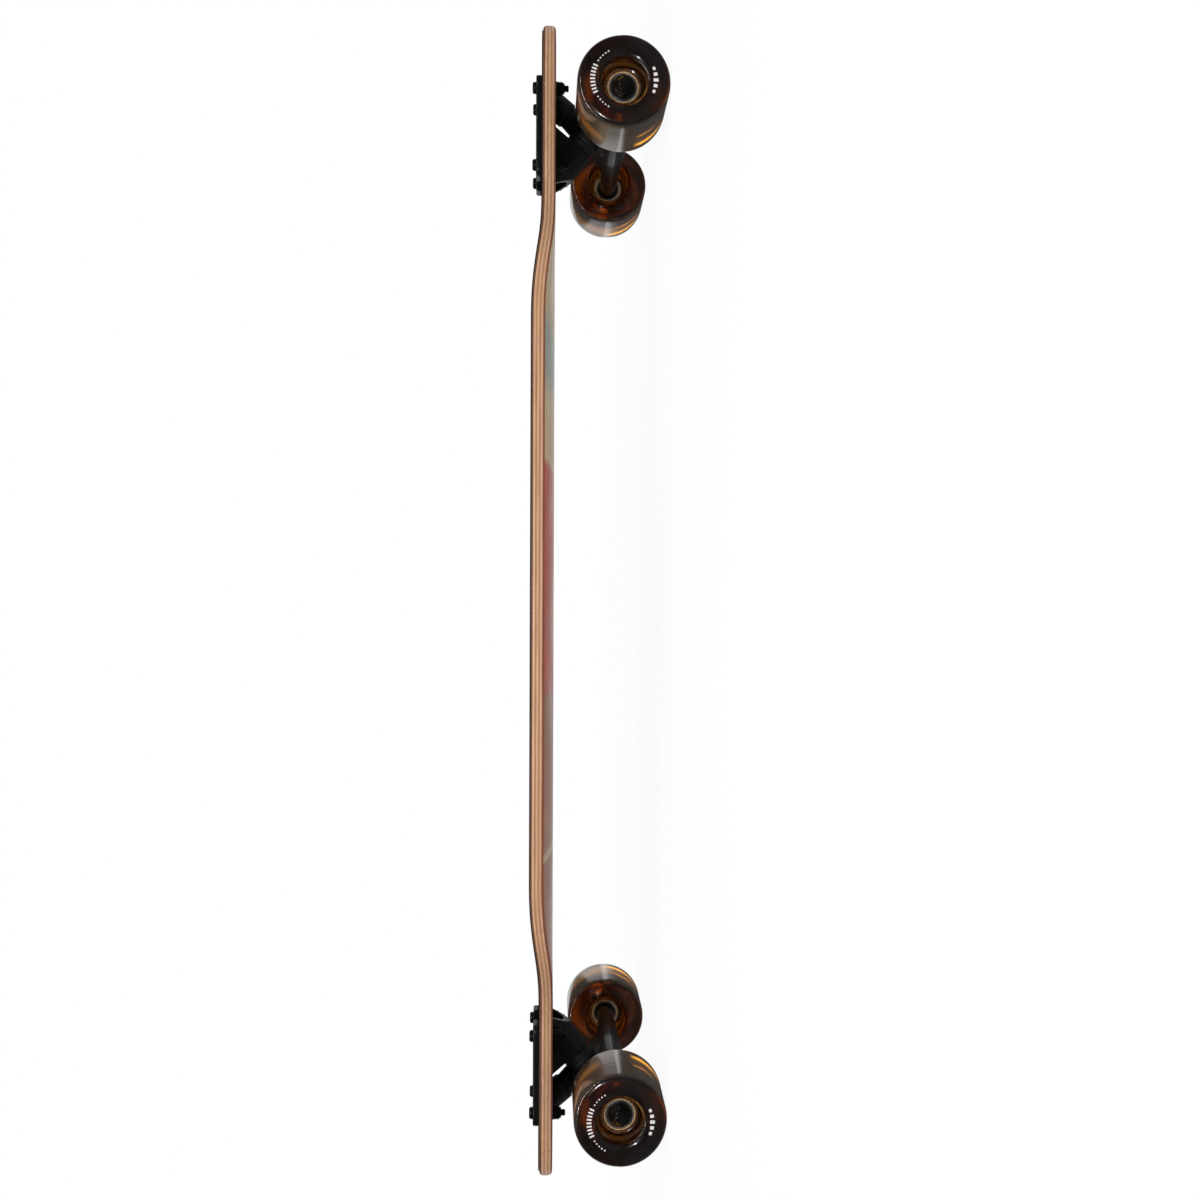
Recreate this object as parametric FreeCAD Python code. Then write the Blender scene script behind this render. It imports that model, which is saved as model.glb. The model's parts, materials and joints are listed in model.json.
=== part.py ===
import FreeCAD, Part
import math
import os

from FreeCAD import Matrix, Vector

# Drop-through longboard skateboard, in millimetres.
# The origin is on the ground under the middle of the board.
# +X runs along the board to the front truck, +Y to its left, +Z up.

os.makedirs("parts", exist_ok=True)

# Deck
axle_spacing = 764.0
nose_overhang = 95.5
deck_width = 213.0
neck_width = 116.0
nose_width = 126.0
shoulder_length = 115.0
neck_lead = 35.0
nose_round_length = 62.0
ply_count = 7
ply_thickness = 1.5
concave_rise = 8.0
concave_lead = 55.0
concave_ramp = 112.0
deck_edge_round = 3.0
grip_thickness = 0.8
grip_inset = 3.6
grip_glue = 0.05

# Wheels
wheel_diameter = 69.0
wheel_width = 52.0
wheel_lip_radius = 5.5
wheel_dish_diameter = 40.0
core_rim_diameter = 26.0
core_waist_diameter = 33.0
core_rim_stand = 0.6
core_rim_length = 3.0
core_slope_length = 2.4
dish_ease = 0.45

# Bearings
bearing_outer_diameter = 22.0
bearing_bore = 8.0
bearing_width = 7.0
race_wall = 1.9
shield_seat_wall = 0.9
shield_seat_depth = 0.8
ball_diameter = 3.97
ball_count = 7
ball_gap = 0.06
cage_wall = 1.2
cage_back = 2.6
cage_front = 0.7
shield_thickness = 0.4
shield_gap = 0.2
bearing_spacing = 10.0
spacer_wall = 1.3

# Axles
axle_gap = 0.03
hanger_width = 180.0
speed_ring_thickness = 1.0
speed_ring_diameter = 11.4
axle_nut_across = 12.7
axle_nut_height = 7.5
axle_thread_show = 1.5
axle_chamfer = 0.8

# Truck geometry: the hanger turns about the steering axis, and the kingpin stands square to that axis
steer_angle = 50.0
ring_reach = 23.0
axle_rake = 4.5
truck_height = 60.7

# Hanger
tube_middle_diameter = 19.6
tube_end_diameter = 15.0
tube_middle_ease = 0.4
tube_end_ease = 0.5
ring_diameter = 38.0
ring_thickness = 10.0
ring_hole_diameter = 15.0
ring_seat_depth = 1.5
ring_edge_round = 1.5
web_reach = 56.0
web_thickness = 7.0
web_edge_round = 2.5
web_corner_inset = 1.0
arm_length = 23.0
arm_root_diameter = 22.0
arm_end_diameter = 19.0
pivot_diameter = 10.8
pivot_length = 12.0
pivot_tip_round = 3.2

# Kingpin and bushings
kingpin_diameter = 9.5
kingpin_head_across = 14.3
kingpin_head_height = 6.0
kingpin_nut_across = 14.3
kingpin_nut_height = 8.0
kingpin_thread_show = 2.0
kingpin_chamfer = 1.4
bushing_diameter = 24.0
bushing_cone_diameter = 19.0
boardside_bushing_height = 13.3
roadside_bushing_height = 13.0
boardside_bushing_round = 2.4
roadside_bushing_round = 1.4
bushing_washer_thickness = 1.5
cup_washer_lip = 1.2
bushing_gap = 0.3
kingpin_gap = 0.1

# Baseplate
flange_length = 83.0
flange_width = 56.0
flange_thickness = 4.7
flange_corner_radius = 6.0
flange_edge_round = 1.2
bolt_spacing_long = 63.5
bolt_spacing_short = 54.0
bolt_spacing_across = 41.3
bolt_pattern_lead = 9.2
tower_width = 26.0
tower_depth = 10.2
tower_back = 22.4
tower_front = 31.0
slot_gap = 1.5
slot_corner_radius = 5.0
under_deck_gap = 0.4
boss_diameter = 28.6
boss_edge_round = 1.2
boss_end_lean = 23.5
boss_seat_depth = 2.5
boss_floor = 7.5
head_pocket_diameter = 22.6
head_pocket_depth = 12.4
flange_pocket_length = 30.0
flange_pocket_width = 17.0
flange_pocket_depth = 9.0
pivot_cup_wall = 2.5
pivot_cup_floor = 2.0
pivot_cup_lip = 1.2
pivot_boss_wall = 2.8
pivot_gap = 0.1

# Mounting hardware
bolt_diameter = 4.8
bolt_head_diameter = 9.4
bolt_head_height = 3.0
bolt_head_round = 1.8
bolt_tip_chamfer = 0.5
recess_width = 1.2
recess_reach = 2.5
recess_depth = 1.8
bolt_hole_gap = 0.3
bolt_thread_show = 3.4
mount_washer_diameter = 11.0
mount_washer_thickness = 1.0
mount_nut_across = 10.0
mount_nut_height = 6.4
thread_gap = 0.05

# Hex corners and lock-nut collars, as shares of the nut's own size
hex_corner_ease = 0.7
nut_collar_height = 0.25
nut_collar_radius = 0.43
nut_collar_round = 0.6

# Bezier handles: an even S bend, and a quarter of an ellipse
bend_ease = 0.5
round_ease = 0.5523

# Worked-out places
wheel_radius = wheel_diameter / 2
axle_x = axle_spacing / 2
deck_half_length = axle_x + nose_overhang
deck_half_width = deck_width / 2
deck_thickness = ply_count * ply_thickness
deck_top = wheel_radius + truck_height - grip_thickness - grip_glue
deck_bottom = deck_top - deck_thickness
axle_radius = bearing_bore / 2 - axle_gap
ball_circle_radius = (bearing_bore + bearing_outer_diameter) / 4
hanger_half = hanger_width / 2
bearing_stack = 2 * bearing_width + bearing_spacing
wheel_offset = hanger_half + speed_ring_thickness + bearing_stack / 2
axle_half = wheel_offset + bearing_stack / 2 + speed_ring_thickness + axle_nut_height + axle_thread_show
bolt_radius = bolt_diameter / 2
bolt_hole_radius = bolt_radius + bolt_hole_gap

# Places along the kingpin, measured from the axle towards the road
ring_low = -axle_rake + ring_thickness / 2
ring_high = -axle_rake - ring_thickness / 2
boardside_bushing_end = ring_high + ring_seat_depth
boardside_bushing_start = boardside_bushing_end - boardside_bushing_height
boss_seat = boardside_bushing_start - bushing_washer_thickness
boss_rim = boss_seat + boss_seat_depth
head_seat = boss_seat - boss_floor
boss_end = head_seat - head_pocket_depth
roadside_bushing_start = ring_low - ring_seat_depth
roadside_bushing_end = roadside_bushing_start + roadside_bushing_height
kingpin_nut_start = roadside_bushing_end + bushing_washer_thickness
kingpin_end = kingpin_nut_start + kingpin_nut_height + kingpin_thread_show

# Places along the steering axis, measured from the axle towards the deck
arm_end = ring_reach + arm_length
pivot_end = arm_end + pivot_length
pivot_boss_face = arm_end + pivot_gap + pivot_cup_lip
pivot_cup_end = pivot_end + pivot_gap + pivot_cup_floor
pivot_cup_radius = pivot_diameter / 2 + pivot_gap + pivot_cup_wall
pivot_boss_radius = pivot_cup_radius + pivot_boss_wall


# Helpers

def cylinder(radius, start, end):
    """A round bar from start to end."""
    return Part.makeCylinder(radius, (end - start).Length, start, end - start)


def tube(outer_radius, inner_radius, start, end):
    """A round tube from start to end."""
    return cylinder(outer_radius, start, end).cut(cylinder(inner_radius, start, end))


def box(x0, x1, y0, y1, z0, z1):
    """A box between two corners."""
    return Part.makeBox(x1 - x0, y1 - y0, z1 - z0, Vector(x0, y0, z0))


def rounded_block(x0, x1, half_width, z0, z1, corner_radius):
    """An upright block, centred on Y, with round corners in plan."""
    block = box(x0, x1, -half_width, half_width, z0, z1)
    upright = [e for e in block.Edges if abs(e.tangentAt(e.FirstParameter).z) > 0.9]
    return block.makeFillet(corner_radius, upright)


def prism(points, direction):
    """A closed polygon swept along a direction."""
    return Part.Face(Part.makePolygon(points + points[:1])).extrude(direction)


def hexagon(across_flats, height):
    """A hex bar on +Z with its flats facing +-Y and its corners eased at both ends."""
    corner = across_flats / math.sqrt(3)
    points = []
    for i in range(6):
        turn = math.radians(60 * i)
        points.append(Vector(corner * math.cos(turn), corner * math.sin(turn), 0))
    ease = corner - across_flats / 2
    round_bar = Part.makeCylinder(corner, height)
    rims = [e for e in round_bar.Edges if isinstance(e.Curve, Part.Circle)]
    return prism(points, Vector(0, 0, height)).common(round_bar.makeChamfer(hex_corner_ease * ease, rims))


def lock_nut(across_flats, height, bore_radius):
    """A lock nut on +Z, seated at 0: a hex with the round collar of its insert on top."""
    collar_height = nut_collar_height * height
    nut = hexagon(across_flats, height - collar_height)
    collar = Part.makeCylinder(nut_collar_radius * across_flats, height)
    rim = [e for e in collar.Edges if isinstance(e.Curve, Part.Circle) and e.CenterOfMass.z > 0]
    nut = nut.fuse(collar.makeFillet(nut_collar_round * collar_height, rim)).removeSplitter()
    return nut.cut(Part.makeCylinder(bore_radius, height))


def turned(profile):
    """A closed profile of edges in radius (X) and width (Y), turned about the Y axis."""
    wire = Part.Wire(Part.__sortEdges__(profile))
    return Part.Face(wire).revolve(Vector(0, 0, 0), Vector(0, 1, 0), 360)


def lines(points):
    """Straight edges through a list of points."""
    return [Part.makeLine(a, b) for a, b in zip(points, points[1:])]


def bezier(*poles):
    """One Bezier edge."""
    curve = Part.BezierCurve()
    curve.setPoles(list(poles))
    return curve.toShape()


def along_y(shape, y):
    """Turn a shape made on +Z so that it points along +Y or -Y away from the middle, and move it to y."""
    out = shape.copy()
    out.rotate(Vector(0, 0, 0), Vector(1, 0, 0), -90 if y > 0 else 90)
    out.translate(Vector(0, y, 0))
    return out


def steering(shape):
    """From the steering frame (X steering axis, Z kingpin towards the road) to the truck's frame."""
    turn = math.radians(steer_angle)
    frame = Matrix(
        math.cos(turn), 0, math.sin(turn), 0,
        0, -1, 0, 0,
        math.sin(turn), 0, -math.cos(turn), 0,
        0, 0, 0, 1,
    )
    out = shape.copy()
    out.transformShape(frame)
    return out


def placed(shape, side):
    """From the truck's frame to the board: side 1 is the front truck, -1 the rear truck."""
    out = shape.copy()
    if side < 0:
        out.rotate(Vector(0, 0, 0), Vector(0, 0, 1), 180)
    out.translate(Vector(side * axle_x, 0, wheel_radius))
    return out


def export(name, *solids):
    """Write one sub-part's solids to its file."""
    shape = solids[0] if len(solids) == 1 else Part.makeCompound(list(solids))
    shape.exportStep("parts/" + name + ".step")


# Deck

def deck_outline(inset):
    """The deck's plan as a closed wire, drawn in by an inset all round."""
    half_length = deck_half_length - inset
    wide = deck_half_width - inset
    neck = neck_width / 2 - inset
    nose = nose_width / 2 - inset
    neck_x = axle_x - neck_lead
    rail_x = neck_x - shoulder_length
    nose_x = deck_half_length - nose_round_length
    edges = []
    for sx, sy in ((1, 1), (-1, 1), (-1, -1), (1, -1)):
        def at(x, y):
            return Vector(sx * x, sy * y, 0)

        shoulder = bend_ease * shoulder_length
        flare = bend_ease * (nose_x - neck_x)
        tip = round_ease * (half_length - nose_x)
        edges += [
            Part.makeLine(at(0, wide), at(rail_x, wide)),
            bezier(
                at(rail_x, wide), at(rail_x + shoulder, wide),
                at(neck_x - shoulder, neck), at(neck_x, neck)),
            bezier(
                at(neck_x, neck), at(neck_x + flare, neck),
                at(nose_x - flare, nose), at(nose_x, nose)),
            bezier(
                at(nose_x, nose), at(nose_x + tip, nose),
                at(half_length, round_ease * nose), at(half_length, 0)),
        ]
    return Part.Wire(Part.__sortEdges__(edges))


def concave_sheet(bottom, thickness):
    """A slab wider than the deck that is flat at the trucks and rises to the rails in between."""
    half = deck_half_width + deck_edge_round
    edge_lift = concave_rise * (half / deck_half_width) ** 2
    ramp_start = axle_x - concave_lead
    ramp_end = ramp_start - concave_ramp
    end = deck_half_length + deck_edge_round
    ramp = [ramp_end + i * concave_ramp / 3 for i in range(4)]
    spans = (
        ([-end, -ramp_start], [0, 0]),
        ([-x for x in reversed(ramp)], [0, 0, 1, 1]),
        ([-ramp_end, ramp_end], [1, 1]),
        (ramp, [1, 1, 0, 0]),
        ([ramp_start, end], [0, 0]),
    )
    slabs = []
    for stations, lifts in spans:
        patch = Part.BezierSurface()
        patch.increase(len(stations) - 1, 2)
        for i, (x, lift) in enumerate(zip(stations, lifts)):
            for j, (y, sign) in enumerate(((-half, 1), (0, -1), (half, 1))):
                patch.setPole(i + 1, j + 1, Vector(x, y, bottom + sign * lift * edge_lift))
        slabs.append(patch.toShape().extrude(Vector(0, 0, thickness)))
    return slabs[0].multiFuse(slabs[1:])


def cut_to_plan(sheet, inset):
    """The part of a sheet inside the deck's plan."""
    plan = Part.Face(deck_outline(inset)).extrude(Vector(0, 0, 2 * deck_top))
    return sheet.common(plan).Solids[0]


def truck_openings():
    """Slots for the towers and holes for the bolts, as solids through the whole deck."""
    cuts = []
    for side in (1, -1):
        slot = rounded_block(
            -tower_back + bolt_pattern_lead - slot_gap, tower_front + bolt_pattern_lead + slot_gap,
            tower_width / 2 + slot_gap, 0, truck_height + grip_thickness, slot_corner_radius)
        cuts.append(placed(slot, side))
        for x, y in bolt_places() + spare_places():
            hole = cylinder(bolt_hole_radius, Vector(x, y, 0), Vector(x, y, truck_height + grip_thickness))
            cuts.append(placed(hole, side))
    return cuts


def bolt_places():
    """The four bolts of one truck, in the truck's frame."""
    reach = bolt_spacing_long / 2
    across = bolt_spacing_across / 2
    return [(bolt_pattern_lead + sx * reach, sy * across) for sx in (1, -1) for sy in (1, -1)]


def spare_places():
    """The second, shorter pattern's inner pair of holes, left open."""
    x = bolt_pattern_lead + bolt_spacing_long / 2 - bolt_spacing_short
    across = bolt_spacing_across / 2
    return [(x, across), (x, -across)]


def make_deck():
    deck = cut_to_plan(concave_sheet(deck_bottom, deck_thickness), 0)
    edges = []
    for face in deck.Faces:
        u0, u1, v0, v1 = face.ParameterRange
        if abs(face.normalAt((u0 + u1) / 2, (v0 + v1) / 2).z) < 0.1:
            edges += [e for e in face.Edges if max(e.BoundBox.XLength, e.BoundBox.YLength) > 0.1]
    deck = deck.makeFillet(deck_edge_round, edges)
    return deck.cut(truck_openings()).Solids[0]


def make_grip_tape():
    grip = cut_to_plan(concave_sheet(deck_top + grip_glue, grip_thickness), grip_inset)
    return grip.cut(truck_openings()).Solids[0]


# Wheels and bearings, made about the Y axis with the wheel's middle at the origin

def core_outside():
    """The line where the urethane meets the core, from one side to the other."""
    rim = core_rim_diameter / 2
    waist = core_waist_diameter / 2
    edge = bearing_stack / 2
    slope_start = edge - core_rim_length
    slope_end = slope_start - core_slope_length
    return [
        Vector(rim, -edge, 0), Vector(rim, -slope_start, 0), Vector(waist, -slope_end, 0),
        Vector(waist, slope_end, 0), Vector(rim, slope_start, 0), Vector(rim, edge, 0),
    ]


def make_tyre():
    radius = wheel_radius
    half = wheel_width / 2
    tread = half - wheel_lip_radius
    lip = wheel_lip_radius * math.sin(math.radians(45))
    dish = wheel_dish_diameter / 2
    rim = core_rim_diameter / 2
    seat = bearing_stack / 2
    profile = lines(core_outside())
    profile.append(Part.makeLine(Vector(radius, -tread, 0), Vector(radius, tread, 0)))
    for side in (1, -1):
        start = Vector(radius, side * tread, 0)
        middle = Vector(radius - wheel_lip_radius + lip, side * (tread + lip), 0)
        end = Vector(radius - wheel_lip_radius, side * half, 0)
        profile.append(Part.Arc(start, middle, end).toShape())
        profile.append(Part.makeLine(end, Vector(dish, side * half, 0)))
        lean = dish_ease * (dish - rim)
        profile.append(bezier(
            Vector(dish, side * half, 0), Vector(dish - lean, side * half, 0),
            Vector(rim + lean, side * seat, 0), Vector(rim, side * seat, 0)))
    return turned(profile)


def make_core():
    outside = core_outside()
    edge = bearing_stack / 2 + core_rim_stand
    rim = core_rim_diameter / 2
    seat = bearing_outer_diameter / 2
    shelf = bearing_spacing / 2
    hole = seat - race_wall
    inside = [
        Vector(seat, edge, 0), Vector(seat, shelf, 0), Vector(hole, shelf, 0),
        Vector(hole, -shelf, 0), Vector(seat, -shelf, 0), Vector(seat, -edge, 0),
    ]
    around = [Vector(rim, -edge, 0)] + outside + [Vector(rim, edge, 0)] + inside
    return turned(lines(around + around[:1]))


def bearing_middles():
    """The two bearings' middles across the wheel."""
    middle = (bearing_spacing + bearing_width) / 2
    return (-middle, middle)


def race(outer_radius, inner_radius, y):
    """One race: a ring with the ball groove cut in it."""
    half = bearing_width / 2
    ring = tube(outer_radius, inner_radius, Vector(0, y - half, 0), Vector(0, y + half, 0))
    groove_radius = ball_diameter / 2 + ball_gap
    groove = Part.makeTorus(ball_circle_radius, groove_radius, Vector(0, y, 0), Vector(0, 1, 0))
    return ring.cut(groove)


def make_outer_races():
    """Outer races, each with a shallow seat at both ends for its shields."""
    outer = bearing_outer_diameter / 2
    races = []
    for y in bearing_middles():
        ring = race(outer, outer - race_wall, y)
        for side in (1, -1):
            face = Vector(0, y + side * bearing_width / 2, 0)
            floor = face - Vector(0, side * shield_seat_depth, 0)
            ring = ring.cut(cylinder(outer - shield_seat_wall, face, floor))
        races.append(ring)
    return races


def make_inner_races():
    inner = bearing_bore / 2
    return [race(inner + race_wall, inner, y) for y in bearing_middles()]


def ball_centres(y):
    """Ball centres evenly round the ball circle."""
    centres = []
    for i in range(ball_count):
        turn = math.radians(360 * i / ball_count)
        centres.append(Vector(ball_circle_radius * math.cos(turn), y, ball_circle_radius * math.sin(turn)))
    return centres


def make_balls():
    return [Part.makeSphere(ball_diameter / 2, c) for y in bearing_middles() for c in ball_centres(y)]


def make_cages():
    """Thin rings with a pocket round each ball."""
    cages = []
    for y in bearing_middles():
        middle = Vector(0, y, 0)
        start = middle - Vector(0, cage_back, 0)
        end = middle + Vector(0, cage_front, 0)
        cage = tube(ball_circle_radius + cage_wall / 2, ball_circle_radius - cage_wall / 2, start, end)
        for centre in ball_centres(y):
            cage = cage.cut(cylinder(ball_diameter / 2 + ball_gap, middle, 2 * centre - middle))
        cages.append(cage)
    return cages


def make_shields():
    """Two shields in each bearing, just inside its faces."""
    inner = bearing_bore / 2 + race_wall + shield_gap
    outer = bearing_outer_diameter / 2 - shield_seat_wall
    inset = bearing_width / 2 - shield_seat_depth + shield_thickness
    shields = []
    for y in bearing_middles():
        for side in (1, -1):
            start = Vector(0, y + side * inset, 0)
            end = Vector(0, y + side * (inset - shield_thickness), 0)
            shields.append(tube(outer, inner, start, end))
    return shields


def make_spacer():
    half = bearing_spacing / 2
    inner = bearing_bore / 2
    return tube(inner + spacer_wall, inner, Vector(0, -half, 0), Vector(0, half, 0))


def make_speed_rings():
    """One ring on each side of the wheel's two bearings."""
    rings = []
    for side in (1, -1):
        start = Vector(0, side * bearing_stack / 2, 0)
        end = start + Vector(0, side * speed_ring_thickness, 0)
        rings.append(tube(speed_ring_diameter / 2, bearing_bore / 2, start, end))
    return rings


# Hanger body, in the steering frame: X along the steering axis, Z along the kingpin towards the road

def on_kingpin(z):
    """A point on the kingpin's axis."""
    return Vector(ring_reach, 0, z)


def make_hanger():
    middle = tube_middle_diameter / 2
    slim = tube_end_diameter / 2
    shaft = [Vector(0, -hanger_half, 0), Vector(0, hanger_half, 0)]
    profile = lines([Vector(slim, hanger_half, 0)] + shaft[::-1] + [Vector(slim, -hanger_half, 0)])
    for side in (1, -1):
        waist = Vector(middle, 0, 0)
        end = Vector(slim, side * hanger_half, 0)
        profile.append(bezier(
            waist, Vector(middle, side * tube_middle_ease * hanger_half, 0),
            Vector(slim, side * tube_end_ease * hanger_half, 0), end))
    hanger = turned(profile)

    ring = cylinder(ring_diameter / 2, on_kingpin(ring_high), on_kingpin(ring_low))
    rims = [e for e in ring.Edges if isinstance(e.Curve, Part.Circle)]
    ring = ring.makeFillet(ring_edge_round, rims)

    web_top = -axle_rake - web_thickness / 2
    web_end = ring_diameter / 2 - web_corner_inset
    web = prism(
        [Vector(0, -web_reach, web_top), Vector(ring_reach, -web_end, web_top),
         Vector(ring_reach, web_end, web_top), Vector(0, web_reach, web_top)],
        Vector(0, 0, web_thickness))
    web = web.makeFillet(web_edge_round, web.Edges)

    arm_start = Vector(ring_reach + bushing_diameter / 2 + bushing_gap, 0, -axle_rake)
    arm = Part.makeCone(
        arm_root_diameter / 2, arm_end_diameter / 2, arm_end - arm_start.x, arm_start, Vector(1, 0, 0))
    pin = cylinder(pivot_diameter / 2, arm_start, Vector(pivot_end, 0, -axle_rake))
    tip = [e for e in pin.Edges if isinstance(e.Curve, Part.Circle) and e.CenterOfMass.x > arm_end]
    pin = pin.makeFillet(pivot_tip_round, tip)

    hanger = hanger.multiFuse([ring, web, arm, pin])
    seat = bushing_diameter / 2 + bushing_gap
    cuts = [
        cylinder(ring_hole_diameter / 2, on_kingpin(boss_rim), on_kingpin(kingpin_end)),
        cylinder(seat, on_kingpin(boss_rim), on_kingpin(boardside_bushing_end)),
        cylinder(seat, on_kingpin(roadside_bushing_start), on_kingpin(kingpin_end)),
        cylinder(axle_radius, Vector(0, -hanger_half, 0), Vector(0, hanger_half, 0)),
    ]
    return hanger.cut(cuts).Solids[0]


def make_axle():
    axle = cylinder(axle_radius, Vector(0, -axle_half, 0), Vector(0, axle_half, 0))
    rims = [e for e in axle.Edges if isinstance(e.Curve, Part.Circle)]
    return axle.makeChamfer(axle_chamfer, rims)


def make_axle_nuts():
    seat = wheel_offset + bearing_stack / 2 + speed_ring_thickness
    nut = lock_nut(axle_nut_across, axle_nut_height, axle_radius + thread_gap)
    return [along_y(nut, seat), along_y(nut, -seat)]


# Truck pieces on the board, in the steering frame

def make_kingpin():
    head = hexagon(kingpin_head_across, kingpin_head_height)
    head.rotate(Vector(0, 0, 0), Vector(0, 0, 1), 30)
    head.translate(on_kingpin(head_seat - kingpin_head_height))
    shank = cylinder(kingpin_diameter / 2, on_kingpin(head_seat), on_kingpin(kingpin_end))
    end = [e for e in shank.Edges if isinstance(e.Curve, Part.Circle) and e.CenterOfMass.z > 0]
    return head.fuse(shank.makeChamfer(kingpin_chamfer, end)).removeSplitter()


def make_kingpin_nut():
    nut = lock_nut(kingpin_nut_across, kingpin_nut_height, kingpin_diameter / 2 + thread_gap)
    nut.translate(on_kingpin(kingpin_nut_start))
    return nut


def outer_rims(bushing):
    """The circles at a bushing's ends, without those of its bore."""
    circles = [e for e in bushing.Edges if isinstance(e.Curve, Part.Circle)]
    return [e for e in circles if e.Curve.Radius > kingpin_diameter / 2 + 2 * kingpin_gap]


def make_boardside_bushing():
    start = on_kingpin(boardside_bushing_start)
    end = on_kingpin(boardside_bushing_end)
    bushing = tube(bushing_diameter / 2, kingpin_diameter / 2 + kingpin_gap, start, end)
    return bushing.makeFillet(boardside_bushing_round, outer_rims(bushing))


def make_roadside_bushing():
    start = on_kingpin(roadside_bushing_start)
    cone = Part.makeCone(
        bushing_diameter / 2, bushing_cone_diameter / 2, roadside_bushing_height, start, Vector(0, 0, 1))
    bore = cylinder(kingpin_diameter / 2 + kingpin_gap, start, on_kingpin(roadside_bushing_end))
    bushing = cone.cut(bore)
    return bushing.makeFillet(roadside_bushing_round, outer_rims(bushing))


def make_boardside_washer():
    return tube(
        bushing_diameter / 2, kingpin_diameter / 2 + kingpin_gap,
        on_kingpin(boss_seat), on_kingpin(boardside_bushing_start))


def make_roadside_washer():
    """A cup washer: a disc whose lip stands round the bushing's end."""
    lip_inside = bushing_cone_diameter / 2 + bushing_gap
    lip_outside = lip_inside + bushing_washer_thickness
    disc = tube(
        lip_outside, kingpin_diameter / 2 + kingpin_gap,
        on_kingpin(roadside_bushing_end), on_kingpin(kingpin_nut_start))
    lip = tube(
        lip_outside, lip_inside + bushing_gap,
        on_kingpin(roadside_bushing_end - cup_washer_lip), on_kingpin(roadside_bushing_end))
    return disc.fuse(lip).removeSplitter()


def make_pivot_cup():
    """A cup with a lip, round the hanger's pivot."""
    axis = -axle_rake
    bore = pivot_diameter / 2 + pivot_gap
    lip = cylinder(
        pivot_cup_radius + pivot_boss_wall / 2, Vector(arm_end + pivot_gap, 0, axis),
        Vector(pivot_boss_face, 0, axis))
    body = cylinder(pivot_cup_radius, Vector(pivot_boss_face, 0, axis), Vector(pivot_cup_end, 0, axis))
    hollow = cylinder(bore, Vector(arm_end + pivot_gap, 0, axis), Vector(pivot_end + pivot_gap, 0, axis))
    return lip.fuse(body).cut(hollow).removeSplitter()


def boss_end_trim():
    """What is cut off behind the kingpin's boss, so that its open end leans back under the deck."""
    turn = math.radians(steer_angle)
    lean = math.radians(boss_end_lean)
    low = ring_reach - boss_diameter / 2
    corner = Vector(
        low * math.cos(turn) + boss_end * math.sin(turn), -flange_width,
        low * math.sin(turn) - boss_end * math.cos(turn))
    up = Vector(-math.sin(lean), 0, math.cos(lean)) * truck_height
    back = Vector(-flange_length, 0, 0)
    points = [corner - up, corner + up, corner + up + back, corner - up + back]
    return prism(points, Vector(0, 2 * flange_width, 0))


def make_baseplate():
    """The flange on the deck, and under it the tower with the kingpin's boss and the pivot's boss."""
    flange_start = bolt_pattern_lead - flange_length / 2
    flange = rounded_block(
        flange_start, flange_start + flange_length, flange_width / 2,
        truck_height, truck_height + flange_thickness, flange_corner_radius)
    top_edges = [e for e in flange.Edges if e.BoundBox.ZMin > truck_height + flange_thickness / 2]
    flange = flange.makeFillet(flange_edge_round, top_edges)

    back = bolt_pattern_lead - tower_back
    front = bolt_pattern_lead + tower_front
    block = rounded_block(
        back, front, tower_width / 2,
        truck_height - tower_depth, truck_height, slot_corner_radius - slot_gap)

    boss = cylinder(boss_diameter / 2, on_kingpin(boss_end - boss_diameter), on_kingpin(boss_rim))
    boss = boss.makeFillet(boss_edge_round, [e for e in boss.Edges if isinstance(e.Curve, Part.Circle)])
    far = pivot_boss_face + truck_height
    pivot_boss = cylinder(
        pivot_boss_radius, Vector(pivot_boss_face, 0, -axle_rake), Vector(far, 0, -axle_rake))
    neck = box(
        ring_reach, ring_reach + truck_height, -tower_width / 2, tower_width / 2,
        head_seat - kingpin_head_height, boss_rim - boss_edge_round)

    under_deck = deck_bottom - wheel_radius - under_deck_gap
    reach = flange_length
    inside_slot = box(back, front, -flange_width, flange_width, -reach, truck_height)
    below_deck = box(-reach, reach, -flange_width, flange_width, -reach, under_deck)
    room = inside_slot.fuse(below_deck)
    bosses = steering(boss.multiFuse([pivot_boss, neck])).common(room).cut(boss_end_trim())
    plate = flange.multiFuse([block, bosses])

    cuts = [
        cylinder(kingpin_diameter / 2 + kingpin_gap, on_kingpin(boss_end), on_kingpin(boss_rim)),
        cylinder(head_pocket_diameter / 2, on_kingpin(boss_end - boss_diameter), on_kingpin(head_seat)),
        cylinder(bushing_diameter / 2 + bushing_gap, on_kingpin(boss_seat), on_kingpin(boss_rim)),
        cylinder(
            pivot_cup_radius, Vector(pivot_boss_face, 0, -axle_rake), Vector(pivot_cup_end, 0, -axle_rake)),
    ]
    cuts = [steering(c) for c in cuts]
    pocket_start = bolt_pattern_lead - flange_pocket_length / 2
    cuts.append(rounded_block(
        pocket_start, pocket_start + flange_pocket_length, flange_pocket_width / 2,
        truck_height + flange_thickness - flange_pocket_depth, truck_height + flange_thickness,
        slot_corner_radius))
    for x, y in bolt_places() + spare_places():
        cuts.append(cylinder(
            bolt_hole_radius, Vector(x, y, truck_height), Vector(x, y, truck_height + flange_thickness)))
    return plate.cut(cuts).removeSplitter()


# Mounting hardware, in the truck's frame

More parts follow.
